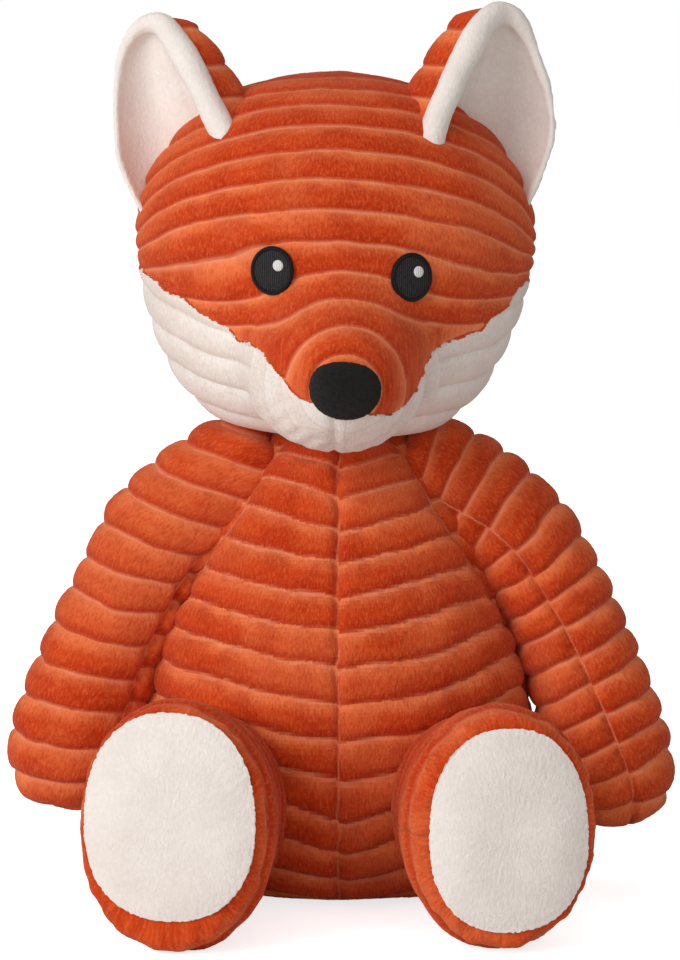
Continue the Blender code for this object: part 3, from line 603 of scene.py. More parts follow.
head = {
    "base": 126 * mm, "height": 98 * mm, "halfWidth": 54.5 * mm, "halfDepth": 48 * mm, "forward": 4 * mm,
    "roll": math.radians(2.5), "turn": math.radians(2.5), "sideways": -1.1 * mm,
    "profile": ((0, 0), (0.36, 0.004), (0.56, 0.03), (0.695, 0.09), (0.815, 0.18), (0.925, 0.32),
                (0.968, 0.42), (1.0, 0.55), (0.96, 0.68), (0.80, 0.82), (0.58, 0.92), (0.34, 0.975),
                (0, 1.0)),
    "snoutProfile": ((0, 0), (1.0, 0.0), (0.98, 0.3), (0.89, 0.57), (0.68, 0.76), (0.46, 0.9),
                     (0.22, 0.985), (0, 1.0)),
    "snoutBack": 15 * mm, "snoutLength": 61 * mm, "snoutLevel": 28 * mm, "snoutDrop": 9.5 * mm,
    "snoutHalfWidth": 27 * mm, "snoutHalfHeight": 26.5 * mm,
    "walePitch": 8.5 * mm, "waleHeight": 1.45 * mm, "firstGroove": -2 * mm, "swell": 1.2 * mm,
    "noseX": 1.8 * mm, "noseZ": 144.5 * mm,
    # seam between crown and cheeks as seen from the front, from the left side to the right (x, z in mm)
    "cheekLine": ((-70, 176), (-51.4, 170.3), (-45.7, 166.2), (-41, 164.8), (-36.6, 161.6), (-29.1, 157.6),
                  (-26.5, 154.8), (-21.2, 153.6), (-17.6, 150.3), (-13.8, 146.6), (-11.3, 143.5),
                  (-7.4, 141.6), (1.8, 139.5), (14.4, 137.4), (19.8, 141.6), (22.5, 146.9),
                  (24.2, 150.6), (29, 153.6),
                  (37.6, 155.8), (40.4, 159), (45.7, 162), (48, 165.5), (52, 168), (70, 172)),
    "cheekBackY": 4 * mm, "backSeamY": 7 * mm, "chinX": -1.0 * mm,
    "cheekPitch": 8.0 * mm, "cheekGroove": 145.9 * mm, "muzzleReach": 25.5 * mm, "muzzlePitch": 4.6 * mm,
    "seamDepth": 0.7 * mm, "seamWidth": 1.4 * mm, "cell": 4.3 * mm,
}


def headPose():
    centre = Vector((0, 0, head["base"] + head["height"] / 2))
    return (Matrix.Translation(centre + Vector((head["sideways"], 0, 0)))
            @ Matrix.Rotation(head["turn"], 4, "Z") @ Matrix.Rotation(head["roll"], 4, "Y")
            @ Matrix.Translation(-centre))


def crownAcross(local, world):  # wales arch over the forehead and run round the nose on the snout
    h = head
    half = h["height"] / 2
    x, z = local[:, 0], local[:, 2] - h["base"] - half
    c = np.sqrt(np.clip(1 - (x / h["halfWidth"]) ** 2, 0, 1))
    level = (z + 16 * mm * (1 - c)) / (0.68 + 0.32 * c)
    forehead = half * np.arcsin(np.clip(level / half, -0.999, 0.999))
    dx, dz = world[:, 0] - h["noseX"], world[:, 2] - h["noseZ"]
    ring = np.hypot(dx, dz)
    flared = dz + 9 * mm * np.tanh((ring - dz) / (9 * mm))
    flare = ramp(15 * mm, 21 * mm, ring) * ramp(3 * mm, 14 * mm, dz)
    snout = -2 * mm + (ring * (1 - flare) + flared * flare - 29 * mm) * 1.3
    blend = 1 - ramp(20 * mm, 40 * mm, dz)
    front = forehead * (1 - blend) + snout * blend
    behind = ramp(h["backSeamY"] - 0.6 * mm, h["backSeamY"] + 0.6 * mm, local[:, 1])
    wander = 0.7 * mm * drift(world, 18 * mm, 2) + 0.3 * mm * drift(world, 6 * mm, 3)
    return (front * (1 - behind) + (z + 3 * mm) * behind - h["firstGroove"] + wander) / h["walePitch"]


def makeHead():
    h = head
    form, share, angle = ballGrid("headForm", 48, 40)
    profile = smoothLine([(r * h["halfWidth"], up * h["height"]) for r, up in h["profile"]])
    spot = pointAt(profile, share)
    radius = np.maximum(spot[:, 0], 0)
    setPoints(form, np.stack([radius * np.cos(angle), radius * np.sin(angle) * h["halfDepth"] / h["halfWidth"]
                              - h["forward"], h["base"] + spot[:, 1]], 1))
    snout, share, angle = ballGrid("snoutForm", 32, 32)
    spot = pointAt(smoothLine(h["snoutProfile"]), share)
    reach = spot[:, 1]
    setPoints(snout, np.stack([
        spot[:, 0] * h["snoutHalfWidth"] * np.cos(angle), -h["snoutBack"] - h["snoutLength"] * reach,
        h["base"] + h["snoutLevel"] - h["snoutDrop"] * reach
        + spot[:, 0] * h["snoutHalfHeight"] * np.sin(angle)], 1))
    deselectAll()
    snout.select_set(True)
    form.select_set(True)
    bpy.context.view_layer.objects.active = form
    bpy.ops.object.join()
    remesh(form, h["cell"])
    relax(form, 3)
    co = getPoints(form)
    pinned = (co[:, 2] < h["base"] + 6 * mm) | ((np.abs(co[:, 0]) < 4 * mm) & (co[:, 1] < -60 * mm))
    stuff(form, pinned, h["swell"])
    subdivide(form, 3)
    pose = headPose()
    back = np.array(pose.inverted())
    form.data.transform(pose)

    cheekLine = smoothLine([(x * mm, z * mm) for x, z in h["cheekLine"]], 400)
    centre = faceCentres(form)
    centreLocal = centre @ back[:3, :3].T + back[:3, 3]
    edge = np.interp(centre[:, 0], cheekLine[:, 0], cheekLine[:, 1])
    edge = edge + 0.3 * mm * drift(centre, 3 * mm, 31) + 0.25 * mm * drift(centre, 1.0 * mm, 32)
    below = (centre[:, 2] < edge) & (centreLocal[:, 1] < h["cheekBackY"])
    labels = np.where(below, np.where(centre[:, 0] < h["chinX"], 1, 2), 0)
    evenSeams(form, labels, 3)

    co = getPoints(form)
    local = co @ back[:3, :3].T + back[:3, 3]
    seamZ = np.interp(co[:, 0], cheekLine[:, 0], cheekLine[:, 1])
    isCheek = (co[:, 2] < seamZ) & (local[:, 1] < h["cheekBackY"])
    fromNose = np.hypot(co[:, 0] - h["noseX"], co[:, 2] - h["noseZ"])
    sideways = np.abs(co[:, 0] - h["noseX"])
    wander = 0.10 * drift(co, 12 * mm, 6)
    beyond = np.maximum(sideways - h["muzzleReach"], 0)
    cheek = (co[:, 2] - h["cheekGroove"] - 0.09 * sideways - 9 * beyond ** 2) / h["cheekPitch"] + wander
    muzzle = (fromNose - h["muzzleReach"]) / h["muzzlePitch"] + wander
    toMuzzle = 1 - ramp(h["muzzleReach"] - 1.5 * mm, h["muzzleReach"] + 1 * mm, fromNose)
    toMuzzle = toMuzzle * (co[:, 1] < -30 * mm)
    onMuzzle = toMuzzle > 0.5
    across = np.where(isCheek, np.where(onMuzzle, muzzle, cheek), crownAcross(local, co))
    along = np.where(isCheek & onMuzzle, np.arctan2(co[:, 0] - h["noseX"], co[:, 2] - h["noseZ"]) * 20 * mm,
                     np.arctan2(co[:, 0], -co[:, 1]) * h["halfWidth"])

    lineGap = distanceTo(cheekLine, co[:, [0, 2]])
    lineGap[local[:, 1] > h["cheekBackY"]] = 1
    cheekBackGap = np.where(co[:, 2] < seamZ, np.abs(local[:, 1] - h["cheekBackY"]), 1)
    chinGap = np.where((co[:, 1] < -30 * mm) & (co[:, 2] < h["noseZ"]), np.abs(co[:, 0] - h["chinX"]), 1)
    backGap = np.where(co[:, 2] > seamZ, np.abs(local[:, 1] - h["backSeamY"]), 1)
    seamGap = np.minimum(cheekBackGap, np.minimum(chinGap, backGap))
    nearSeam = np.exp(-(seamGap / h["seamWidth"]) ** 2)
    ends = nearness(seamGap, 2.2 * mm)
    faint = 0.6 + 0.4 * ramp(22 * mm, 44 * mm, fromNose)
    crownShape = faint * waleShape(crownAcross(local, co), 2.0, ends)
    cheekShape = (0.85 * (1 - toMuzzle) * waleShape(cheek, 2.0, ends)
                  + toMuzzle * (0.3 * waleShape(muzzle, 2.0, ends) + 0.4))
    shape = np.where(isCheek, cheekShape, crownShape) * (1 + 0.25 * drift(co, 13 * mm, 8))
    height = h["waleHeight"] * (shape - 0.5) * (1 - 0.75 * nearness(lineGap, 4 * mm))
    height += np.where(isCheek, 0.35 * mm, -0.15 * mm) * nearness(lineGap, 4 * mm)
    height -= h["seamDepth"] * nearSeam * (1 + 0.5 * drift(co, 4 * mm, 5))
    folds = (np.abs(co[:, 0] - h["chinX"]) * 0.8 + co[:, 2]) / (5.5 * mm)  # gathers that meet under the nose
    gathered = (isCheek * ramp(-44 * mm, -52 * mm, co[:, 1]) * ramp(13 * mm, 17 * mm, fromNose)
                * nearness(sideways, 30 * mm))
    height += 0.3 * mm * gathered * np.cos(folds * 2 * math.pi)
    markPile(form, across, along)
    raiseSurface(form, height)
    relax(form, 2)
    roughen(form, *deepPile)

    surface = BVHTree.FromObject(form, bpy.context.evaluated_depsgraph_get())
    panels = (("headCrown", 0, (0, 0, 170 * mm), rustPlush, "rust_plush", ["head_crown", "head_stuffing"]),
              ("cheekLeft", 1, (-15 * mm, -20 * mm, 150 * mm), creamPlush, "cream_plush", ["cheek_left"]),
              ("cheekRight", 2, (15 * mm, -20 * mm, 150 * mm), creamPlush, "cream_plush", ["cheek_right"]))
    for name, label, heart, material, slot, nodes in panels:
        panel = cutPanel(form, name, labels == label, heart)
        finishPiece(panel, "head", material, nodes)
    remove(form)
    print("head sewn")
    return surface


headSurface = makeHead()

# Arms: wales across a curved tube, with a puckered seam

arm = {
    "spine": {"left": ((-15, 0, 118.5), (-29, 0, 112.2), (-46.6, -3, 98.5), (-56.6, -5, 81), (-64, -6.5, 65),
                       (-73, -9, 39), (-76.4, -10, 23)),
              "right": ((15, 0, 118.5), (29, 0, 112.2), (47.1, -3, 99), (58.2, -5, 81.5), (66, -6.5, 64),
                        (75.8, -9, 35), (78.6, -10, 18.5))},
    "radius": {"left": 17.6 * mm, "right": 16.6 * mm},
    "profile": ((0, 0), (0.0, 0.5), (0.04, 0.86), (0.13, 0.96), (0.28, 0.97), (0.55, 0.94), (0.80, 1.0),
                (0.91, 0.93), (0.975, 0.68), (1.0, 0.34), (1.0, 0)),
    "walePitch": {"left": 8.4 * mm, "right": 8.6 * mm}, "waleHeight": 2.3 * mm,
    # slope of the left wales: height in mm and degrees
    "fall": ((0, 3), (30, 5), (60, 9), (90, 13), (110, 17), (130, 19)),
    "tilt": (0.05, 0.16),  # right wales, off square to the arm, at the shoulder and at the hand
    "seamAngle": {"left": (134, 130), "right": (112, 74)},
    "seamStep": {"left": 0.35, "right": 0.12},
    "ends": 3.8 * mm, "seamDepth": 0.6 * mm, "seamWidth": 1.6 * mm, "cell": 3.9 * mm,
    "swell": 0.8 * mm, "sewn": (24, 234),  # held at the ends, beyond these places of 240 on the spine
}


def spineFrame(line, index):  # centre, sideways, forward and direction at each place on a spine
    tangent = np.gradient(line, axis=0)
    tangent /= np.linalg.norm(tangent, axis=1)[:, None]
    forward = np.array([0, -1, 0]) - tangent * (-tangent[:, 1:2])
    forward /= np.linalg.norm(forward, axis=1)[:, None]
    return line[index], np.cross(tangent, forward)[index], forward[index], tangent[index]


def layAlong(form, share, angle, spine, profile, halfAcross):  # wraps a ball round a spine
    length = runAlong(spine)[-1]
    outline = smoothLine(profile)
    spot = pointAt(np.stack([outline[:, 0] * length, outline[:, 1] * halfAcross], 1), share)
    index = np.clip((spot[:, 0] / length * (len(spine) - 1)).round().astype(int), 0, len(spine) - 1)
    centre, sideways, forward = spineFrame(spine, index)[:3]
    size = np.maximum(spot[:, 1:2], 0)
    setPoints(form, centre + sideways * size * np.cos(angle)[:, None]
              + forward * size * np.sin(angle)[:, None])
    faceOut(form)


def evenLine(knots, count=240):
    return pointAt(smoothLine(np.array(knots) * mm, 900), np.linspace(0, 1, count))


def makeArm(label):
    a, side = arm, sides[label]
    spine = evenLine(a["spine"][label])
    form, share, angle = ballGrid("armForm", 28, 32)
    layAlong(form, share, angle, spine, a["profile"], a["radius"][label])
    remesh(form, a["cell"])
    index = nearestOn(spine, getPoints(form))
    stuff(form, (index < a["sewn"][0]) | (index > a["sewn"][1]), a["swell"])
    subdivide(form, 3)

    co = getPoints(form)
    index = nearestOn(spine, co)
    centre, outward, forward, tangent = spineFrame(spine, index)
    outward = outward * np.sign(outward[:, :1]) * side  # away from the body
    offset = co - centre
    out, front = (offset * outward).sum(1), (offset * forward).sum(1)
    run = runAlong(spine)[index] + (offset * tangent).sum(1)
    turn = np.arctan2(front, out)
    atShoulder, atHand = a["seamAngle"][label]
    share = index / (len(spine) - 1)
    seamTurn = np.radians(atShoulder + (atHand - atShoulder) * share)
    fromSeam = (turn - seamTurn + math.pi) % (2 * math.pi) - math.pi
    seamGap = np.abs(fromSeam) * a["radius"][label]
    wander = 0.9 * mm * drift(co, 14 * mm, 4) + 0.4 * mm * drift(co, 5 * mm, 14)
    if label == "left":
        heights, falls = np.array(a["fall"]).T
        run = -co[:, 2] - co[:, 0] * np.tan(np.radians(np.interp(co[:, 2], heights * mm, falls)))
    else:
        run = run + (a["tilt"][1] + (a["tilt"][0] - a["tilt"][1]) * (1 - share) ** 1.5) * out
    across = (run + wander) / a["walePitch"][label] + np.where(fromSeam > 0, a["seamStep"][label], 0)
    nearSeam = np.exp(-(seamGap / a["seamWidth"]) ** 2)
    height = a["waleHeight"] * (waleShape(-across, 2.0, nearness(seamGap, a["ends"]))
                                * (1 + 0.22 * drift(co, 10 * mm, 8)) - 0.6)
    height -= a["seamDepth"] * nearSeam
    crumple = np.exp(-(seamGap / (4 * mm)) ** 2) * np.where(fromSeam > 0, 1.3, 0.5)
    height += 0.8 * mm * crumple * drift(co, 2.8 * mm, 6)
    markPile(form, -across, turn * a["radius"][label], np.exp(-(seamGap / seamLine) ** 2))
    raiseSurface(form, height)
    relax(form, 2)
    roughen(form, *deepPile)
    form.name = "arm" + label.capitalize()
    finishPiece(form, "arm_" + label, rustPlush,
                ["arm_" + label, f"arm_{label}_stuffing"],
                ("torso", tuple(spine[10]), tuple(spine[80])))


for label in sides:
    makeArm(label)
print("arms sewn")

# Legs: a tall foot with a white sole

leg = {
    "spine": ((30, -14, 25), (33, -35, 27.5), (37.5, -62, 30.5), (43.5, -92.5, 32.6)),
    "halfWidth": {"left": 25.3 * mm, "right": 24.9 * mm},
    "halfHeight": {"left": 32.6 * mm, "right": 31.4 * mm},
    "profile": ((0, 0), (0.0, 0.5), (0.04, 0.70), (0.3, 0.76), (0.55, 0.82), (0.75, 0.93), (0.88, 1.0),
                (0.955, 0.985), (0.99, 0.91), (1.0, 0.80), (1.0, 0.4), (1.0, 0)),
    "walePitch": 9.4 * mm, "waleHeight": 2.8 * mm, "cell": 4.2 * mm,
    "swell": 0.8 * mm, "sewn": (40, 228),
}
sole = {
    "centre": {"left": (-43.3, 36.3), "right": (43.9, 32.8)},
    "halfWidth": {"left": 22.6 * mm, "right": 21.0 * mm},
    "halfHeight": {"left": 27.0 * mm, "right": 26.4 * mm}, "egg": -0.04, "square": 2.3, "dome": 3.4 * mm,
    "proud": 0.6 * mm, "rings": 32, "segments": 480, "ragged": 0.25 * mm,
}


def makeLeg(label):
    g, side = leg, sides[label]
    spine = evenLine([(side * x, y, z) for x, y, z in g["spine"]])
    form, share, angle = ballGrid("legForm", 40, 36)
    outline = smoothLine(g["profile"])
    length = runAlong(spine)[-1]
    halfWidth, halfHeight = g["halfWidth"][label], g["halfHeight"][label]
    spot = pointAt(np.stack([outline[:, 0] * length, outline[:, 1] * halfHeight], 1), share)
    index = np.clip((spot[:, 0] / length * (len(spine) - 1)).round().astype(int), 0, len(spine) - 1)
    tangent = np.gradient(spine, axis=0)
    tangent /= np.linalg.norm(tangent, axis=1)[:, None]
    aside = np.cross(np.array([0, 0, 1.0]), tangent)
    aside /= np.linalg.norm(aside, axis=1)[:, None]
    upward = np.cross(tangent, aside)
    size = np.maximum(spot[:, 1:2], 0)
    setPoints(form, spine[index] + aside[index] * size * (halfWidth / halfHeight) * np.cos(angle)[:, None]
              + upward[index] * size * np.sin(angle)[:, None])
    faceOut(form)
    remesh(form, g["cell"])
    index = nearestOn(spine, getPoints(form))
    stuff(form, (index < g["sewn"][0]) | (index > g["sewn"][1]), g["swell"])
    subdivide(form, 3)

    co = getPoints(form)
    index = nearestOn(spine, co)
    offset = co - spine[index]
    run = runAlong(spine)[index] + (offset * tangent[index]).sum(1)
    turn = np.arctan2((offset * upward[index]).sum(1), (offset * aside[index]).sum(1))
    wander = 0.8 * mm * drift(co, 14 * mm, 9) + 0.4 * mm * drift(co, 5 * mm, 10)
    across = (length + 3.2 * mm - run + wander) / g["walePitch"]
    onSole = ramp(length - 1.5 * mm, length + 0.5 * mm, run)
    height = g["waleHeight"] * (waleShape(across, 2.2) * (1 + 0.15 * drift(co, 8 * mm, 11)) - 0.55)
    height += 0.7 * mm * drift(co, 3 * mm, 12) * ramp(length - 14 * mm, length, run)
    height *= 1 - onSole
    markPile(form, across, turn * halfWidth)
    raiseSurface(form, height)
    co = getPoints(form)
    co[:, 2] = np.maximum(co[:, 2], 0.4 * mm)
    setPoints(form, co)
    roughen(form, *deepPile)
    form.name = "leg" + label.capitalize()
    finishPiece(form, "leg_" + label, rustPlush, ["leg_" + label, f"leg_{label}_stuffing"],
                ("torso", tuple(spine[30]), tuple(spine[140])))
    makeSole(label, spine[-1], tangent[-1], aside[-1] * np.sign(aside[-1][0]), upward[-1])


def makeSole(label, end, out, right, up):
    s = sole
    deselectAll()
    bpy.ops.mesh.primitive_uv_sphere_add(segments=s["segments"], ring_count=s["rings"] * 2, radius=1)
    pad = bpy.context.object
    pad.name = "solePad" + label.capitalize()
    x, z = s["centre"][label]
    lift = (z * mm - end[2]) / up[2]
    middle = end + up * lift + out * s["proud"] + right * (x * mm - end[0])

    def onPad(flat, turn):  # place on the sole's face, from its middle at 0 to its edge at 1
        square = s["square"]
        corner = (np.abs(np.cos(turn)) ** square + np.abs(np.sin(turn)) ** square) ** (-1 / square)
        across = flat * corner * np.cos(turn) * s["halfWidth"][label] * (1 + s["egg"] * np.sin(turn))
        above = flat * corner * np.sin(turn) * s["halfHeight"][label]
        return middle + np.outer(across, right) + np.outer(above, up)

    co = getPoints(pad)
    flat = np.hypot(co[:, 0], co[:, 1])
    turn = np.arctan2(co[:, 1], co[:, 0])
    rise = np.where(co[:, 2] > 0, s["dome"] * (1 - flat ** 3.0) + 0.2 * mm, -2.5 * mm * (1 - flat ** 6))
    place = onPad(flat ** 0.9, turn) + np.outer(rise, out)
    place += np.outer((co[:, 2] > 0) * 0.6 * mm * drift(place, 14 * mm, 13), out)
    edge = s["ragged"] * ramp(0.8, 1.0, flat) * drift(place, 0.6 * mm, 60)
    place += np.outer(edge * np.cos(turn), right) + np.outer(edge * np.sin(turn), up)
    setPoints(pad, place)
    faceOut(pad)
    markPile(pad, place[:, 2] / (9 * mm), place[:, 0])
    roughen(pad, *shortPile)
    finishPiece(pad, "leg_" + label, creamFleece, ["sole_pad_" + label])


for label in sides:
    makeLeg(label)
print("legs and soles sewn")

# Ears: a deep cup of white fleece with a rolled inner edge, in a ribbed back

ear = {
    # height, middle across and half width in mm, from inside the head to the tip
    "left": ((176, -35, 9), (181, -36.2, 13.2), (190, -38.2, 16.9), (199, -40.3, 18.9), (207, -42.3, 18.1),
             (218, -45.5, 14.8), (227.6, -47.9, 11), (233, -49.1, 7.4), (236.5, -49.3, 3.9),
             (237.6, -49.4, 0.4)),
    "right": ((174, 31.5, 9), (181, 32.9, 15), (190, 35, 17.3), (200, 37.3, 19.2), (209, 38.9, 19.7),
              (219, 40.8, 16.3), (224, 41.2, 14), (231.7, 42.4, 9.9), (237, 43.2, 6), (239.3, 43.5, 3),
              (240, 43.5, 0.4)),
    "middleY": {"left": -15.5 * mm, "right": -16 * mm}, "lean": 0.13, "deep": {"left": 0.98, "right": 1.05},
    "walePitch": 8.4 * mm,
    # radius of the rolled rim, from the root of the inner edge over the tip and down the outer edge
    "rim": {"left": ((0, 2.9), (0.2, 3.6), (0.4, 3.9), (0.5, 3.1), (0.58, 1.7), (0.7, 1.1), (1, 1.0)),
            "right": ((0, 3.3), (0.2, 3.7), (0.4, 4.0), (0.50, 3.6), (0.60, 2.0), (0.7, 1.2), (1, 1.0))},
    "cell": 1.0 * mm,
}
# turns run from the inner edge at the front, round the back, to the outer edge
earLining = {"turns": (-46, 165), "out": 0.0, "thick": 2.4 * mm, "filled": 10 * mm, "rise": 0.0,
             "wales": 0.0, "segments": 120, "rings": 60, "square": 16}
earBack = {"turns": (-40, 134), "out": 3.4 * mm, "thick": 3.0 * mm, "filled": 0.0, "rise": 1.6 * mm,
           "wales": 1.7 * mm, "segments": 240, "rings": 120, "square": 10}


def earPlace(label, share, a, offset, rise=0.0):  # a runs from -1 at the inner edge to 1 at the outer edge
    e, side = ear, sides[label]
    spot = pointAt(smoothLine(np.array(e[label]) * mm, 400), share)
    z, middle, half = spot[:, 0], spot[:, 1], np.maximum(spot[:, 2], 0.3 * mm)
    offset = offset * np.clip(half / (5 * mm), 0.08, 1)
    first, last = earLining["turns"] if rise == 0 else earBack["turns"]
    turn = np.radians(first + (last - first) * (a + 1) / 2)
    outer = ramp(-0.5, 0.7, a) * ramp(214 * mm, 236 * mm, z)  # the back ends short of the rim's outer side
    snug = (0.5 + 0.5 * ramp(-1, -0.6, a)) * (1 - 0.4 * ramp(0.3, 1, a))  # closer to the lining at both edges
    offset = offset * (1 - 0.9 * outer) * snug if rise else offset
    z = z + rise * ramp(222 * mm, 240 * mm, z) * (1 - 2.0 * outer)
    return np.stack([middle - side * (half + offset) * np.cos(turn),
                     e["middleY"][label] + e["lean"] * (z - 205 * mm)
                     + (half * e["deep"][label] + offset) * np.sin(turn),
                     z], 1)


def makeEarLayer(name, label, layer):
    shell, share, angle = ballGrid(name, layer["segments"], layer["rings"])
    a = 1 - 2 * np.abs(angle) / math.pi
    b = np.sign(angle) * np.sqrt(np.clip(1 - np.abs(a) ** layer["square"], 0, 1))
    offset = layer["out"] + b * layer["thick"] / 2
    spot = pointAt(smoothLine(np.array(ear[label]) * mm, 400), share)
    offset -= (layer["filled"] * np.clip(-b, 0, 1) * np.cos(a * math.pi / 2) ** 2
               * np.clip(spot[:, 2] / (15 * mm), 0, 1))
    spread = np.stack([a * 19 * mm, a * 0, spot[:, 0]], 1)
    height = spot[:, 0] + 0.8 * mm * drift(spread, 8 * mm, 24 + sides[label])
    wales = waleShape(height / ear["walePitch"] + 0.1, 2.0)
    offset += layer["wales"] * wales * np.clip(b, 0, 1)
    place = earPlace(label, share, a, offset, layer["rise"])
    band = 1.5 / layer["rings"]
    for pole, ring in ((share < 1e-6, share < band), (share > 1 - 1e-6, share > 1 - band)):
        place[pole] = place[ring & ~pole].mean(0)
    setPoints(shell, place)
    faceOut(shell)
    markPile(shell, height / ear["walePitch"] + 0.1, a * 30 * mm)
    return shell


def makeEarRim(label):  # the rolled edge: up the inner edge, over the tip and down the outer edge
    up = np.linspace(0.05, 0.995, 120)
    knots = np.vstack([earPlace(label, up, np.full(120, -1.0), np.zeros(120)),
                       earPlace(label, up[::-1], np.full(120, 1.0), np.zeros(120))])
    spine = pointAt(knots, np.linspace(0, 1, 240))
    rim, share, angle = ballGrid("earRim", 20, 200)
    radii = np.array(ear["rim"][label])
    index = np.clip((share * 239).round().astype(int), 0, 239)
    size = (np.interp(share, radii[:, 0], radii[:, 1]) * mm
            * np.sqrt(np.clip(1 - np.abs(2 * share - 1) ** 24, 0, 1)))
    centre, aside, forward = spineFrame(spine, index)[:3]
    setPoints(rim, centre + aside * (size * np.cos(angle))[:, None]
              + forward * (size * np.sin(angle))[:, None])
    faceOut(rim)
    return rim


def makeEar(label):
    e, side = ear, sides[label]
    lining = makeEarLayer("earLining" + label.capitalize(), label, earLining)
    rim = makeEarRim(label)
    deselectAll()
    rim.select_set(True)
    lining.select_set(True)
    bpy.context.view_layer.objects.active = lining
    bpy.ops.object.join()
    remesh(lining, e["cell"])
    relax(lining, 6)
    subdivide(lining, 1)
    co = getPoints(lining)
    raiseSurface(lining, 0.5 * mm * drift(co, 9 * mm, 20 + side))
    markPile(lining, co[:, 2] / (9 * mm), co[:, 0])
    roughen(lining, *shortPile)
    bend = ("head", (side * 36 * mm, -4 * mm, 180 * mm), (side * 41 * mm, -6 * mm, 204 * mm))
    finishPiece(lining, "ear_" + label, creamFleece, ["ear_lining_" + label], bend)

    back = makeEarLayer("earBack" + label.capitalize(), label, earBack)
    roughen(back, *deepPile)
    finishPiece(back, "ear_" + label, rustPlush, ["ear_back_" + label], bend)


for label in sides:
    makeEar(label)
print("ears sewn")

# Tail: lies behind the seat, with a pale tip

tail = {
    "spine": ((0, 36, 9), (0, 46, 9.5), (2.5, 70, 13), (5, 88, 14.3), (9.5, 111, 11)),
    "radius": 15 * mm,
    "profile": ((0, 0), (0, 0.4), (0.04, 0.55), (0.2, 0.62), (0.5, 0.92), (0.68, 1.0), (0.85, 0.84),
                (0.95, 0.55), (1.0, 0.22), (1.0, 0)),
    "tipShare": 0.64, "walePitch": 9.2 * mm, "waleHeight": 2.6 * mm, "cell": 3.4 * mm,
    "swell": 0.6 * mm, "sewn": (24, 234),
}


def makeTail():
    t = tail
    spine = evenLine(t["spine"])
    length = runAlong(spine)[-1]
    form, share, angle = ballGrid("tailForm", 28, 32)
    outline = smoothLine(t["profile"])
    spot = pointAt(np.stack([outline[:, 0] * length, outline[:, 1] * t["radius"]], 1), share)
    index = np.clip((spot[:, 0] / length * (len(spine) - 1)).round().astype(int), 0, len(spine) - 1)
    tangent = np.gradient(spine, axis=0)
    tangent /= np.linalg.norm(tangent, axis=1)[:, None]
    right = np.cross(tangent, np.array([0, 0, 1.0]))
    right /= np.linalg.norm(right, axis=1)[:, None]
    up = np.cross(right, tangent)
    size = np.maximum(spot[:, 1:2], 0)
    setPoints(form, spine[index] + right[index] * size * np.cos(angle)[:, None]
              + up[index] * size * np.sin(angle)[:, None])
    faceOut(form)
    remesh(form, t["cell"])
    index = nearestOn(spine, getPoints(form))
    stuff(form, (index < t["sewn"][0]) | (index > t["sewn"][1]), t["swell"])
    subdivide(form, 3)

    def runOf(points):
        index = nearestOn(spine, points)
        offset = points - spine[index]
        return runAlong(spine)[index] + (offset * tangent[index]).sum(1), index, offset

    labels = (runOf(faceCentres(form))[0] > length * t["tipShare"]).astype(int)
    evenSeams(form, labels)
    co = getPoints(form)
    run, index, offset = runOf(co)
    turn = np.arctan2((offset * up[index]).sum(1), (offset * right[index]).sum(1))
    across = (run + 0.7 * mm * drift(co, 14 * mm, 15)) / t["walePitch"]
    seamGap = np.abs(run - length * t["tipShare"])
    height = np.where(run > length * t["tipShare"], 0.3 * mm * drift(co, 7 * mm, 16),
                      t["waleHeight"] * (waleShape(across, 2.2) - 0.6))
    height -= 1.2 * mm * np.exp(-(seamGap / (1.8 * mm)) ** 2)
    markPile(form, across, turn * t["radius"])
    raiseSurface(form, height)
    co = getPoints(form)
    co[:, 2] = np.maximum(co[:, 2], 0.4 * mm)
    setPoints(form, co)
    roughen(form, *deepPile)
    cover = cutPanel(form, "tailCover", labels == 0, tuple(spine[60]))
    finishPiece(cover, "tail", rustPlush, ["tail_cover", "tail_stuffing"],
                ("torso", tuple(spine[12]), tuple(spine[80])))
    tip = cutPanel(form, "tailTip", labels == 1, tuple(spine[208]))
    finishPiece(tip, "tail", creamFleece, ["tail_tip"])
    remove(form)


makeTail()
print("tail sewn")

# Face: embroidered eyes and a plush nose

eye = {
    "left": (-17.2 * mm, 173.7 * mm), "right": (19.2 * mm, 171.8 * mm),
    "halfWidth": 6.0 * mm, "halfHeight": 6.5 * mm, "rimShare": 0.19, "rimHeight": 0.75 * mm, "dome": 0.7 * mm,
    "glint": (1.8 * mm, 1.4 * mm), "glintSize": (1.45 * mm, 1.5 * mm),
}
nose = {"x": 1.8 * mm, "z": 144.7 * mm, "halfWidth": 9.3 * mm, "halfHeight": 7.7 * mm, "depth": 6.6 * mm,
        "tip": math.radians(6)}


def onHead(x, z):  # place and direction of the head's surface seen from the front
    spot = headSurface.ray_cast(Vector((x, -0.2, z)), Vector((0, 1, 0)))[0]
    soft = Vector()
    for dx in (-4, -2, 0, 2, 4):
        for dz in (-4, -2, 0, 2, 4):
            soft += headSurface.ray_cast(Vector((x + dx * mm, -0.2, z + dz * mm)), Vector((0, 1, 0)))[1]
    return spot, soft.normalized()


def patchFrame(x, z):  # stands a flat patch on the head: X right, Z out of the surface
    spot, normal = onHead(x, z)
    right = Vector((0, 0, 1)).cross(-normal).normalized()
    right = right if right.x > 0 else -right
    up = normal.cross(right).normalized()
    return Matrix.Translation(spot) @ Matrix((right, up, normal)).transposed().to_4x4()


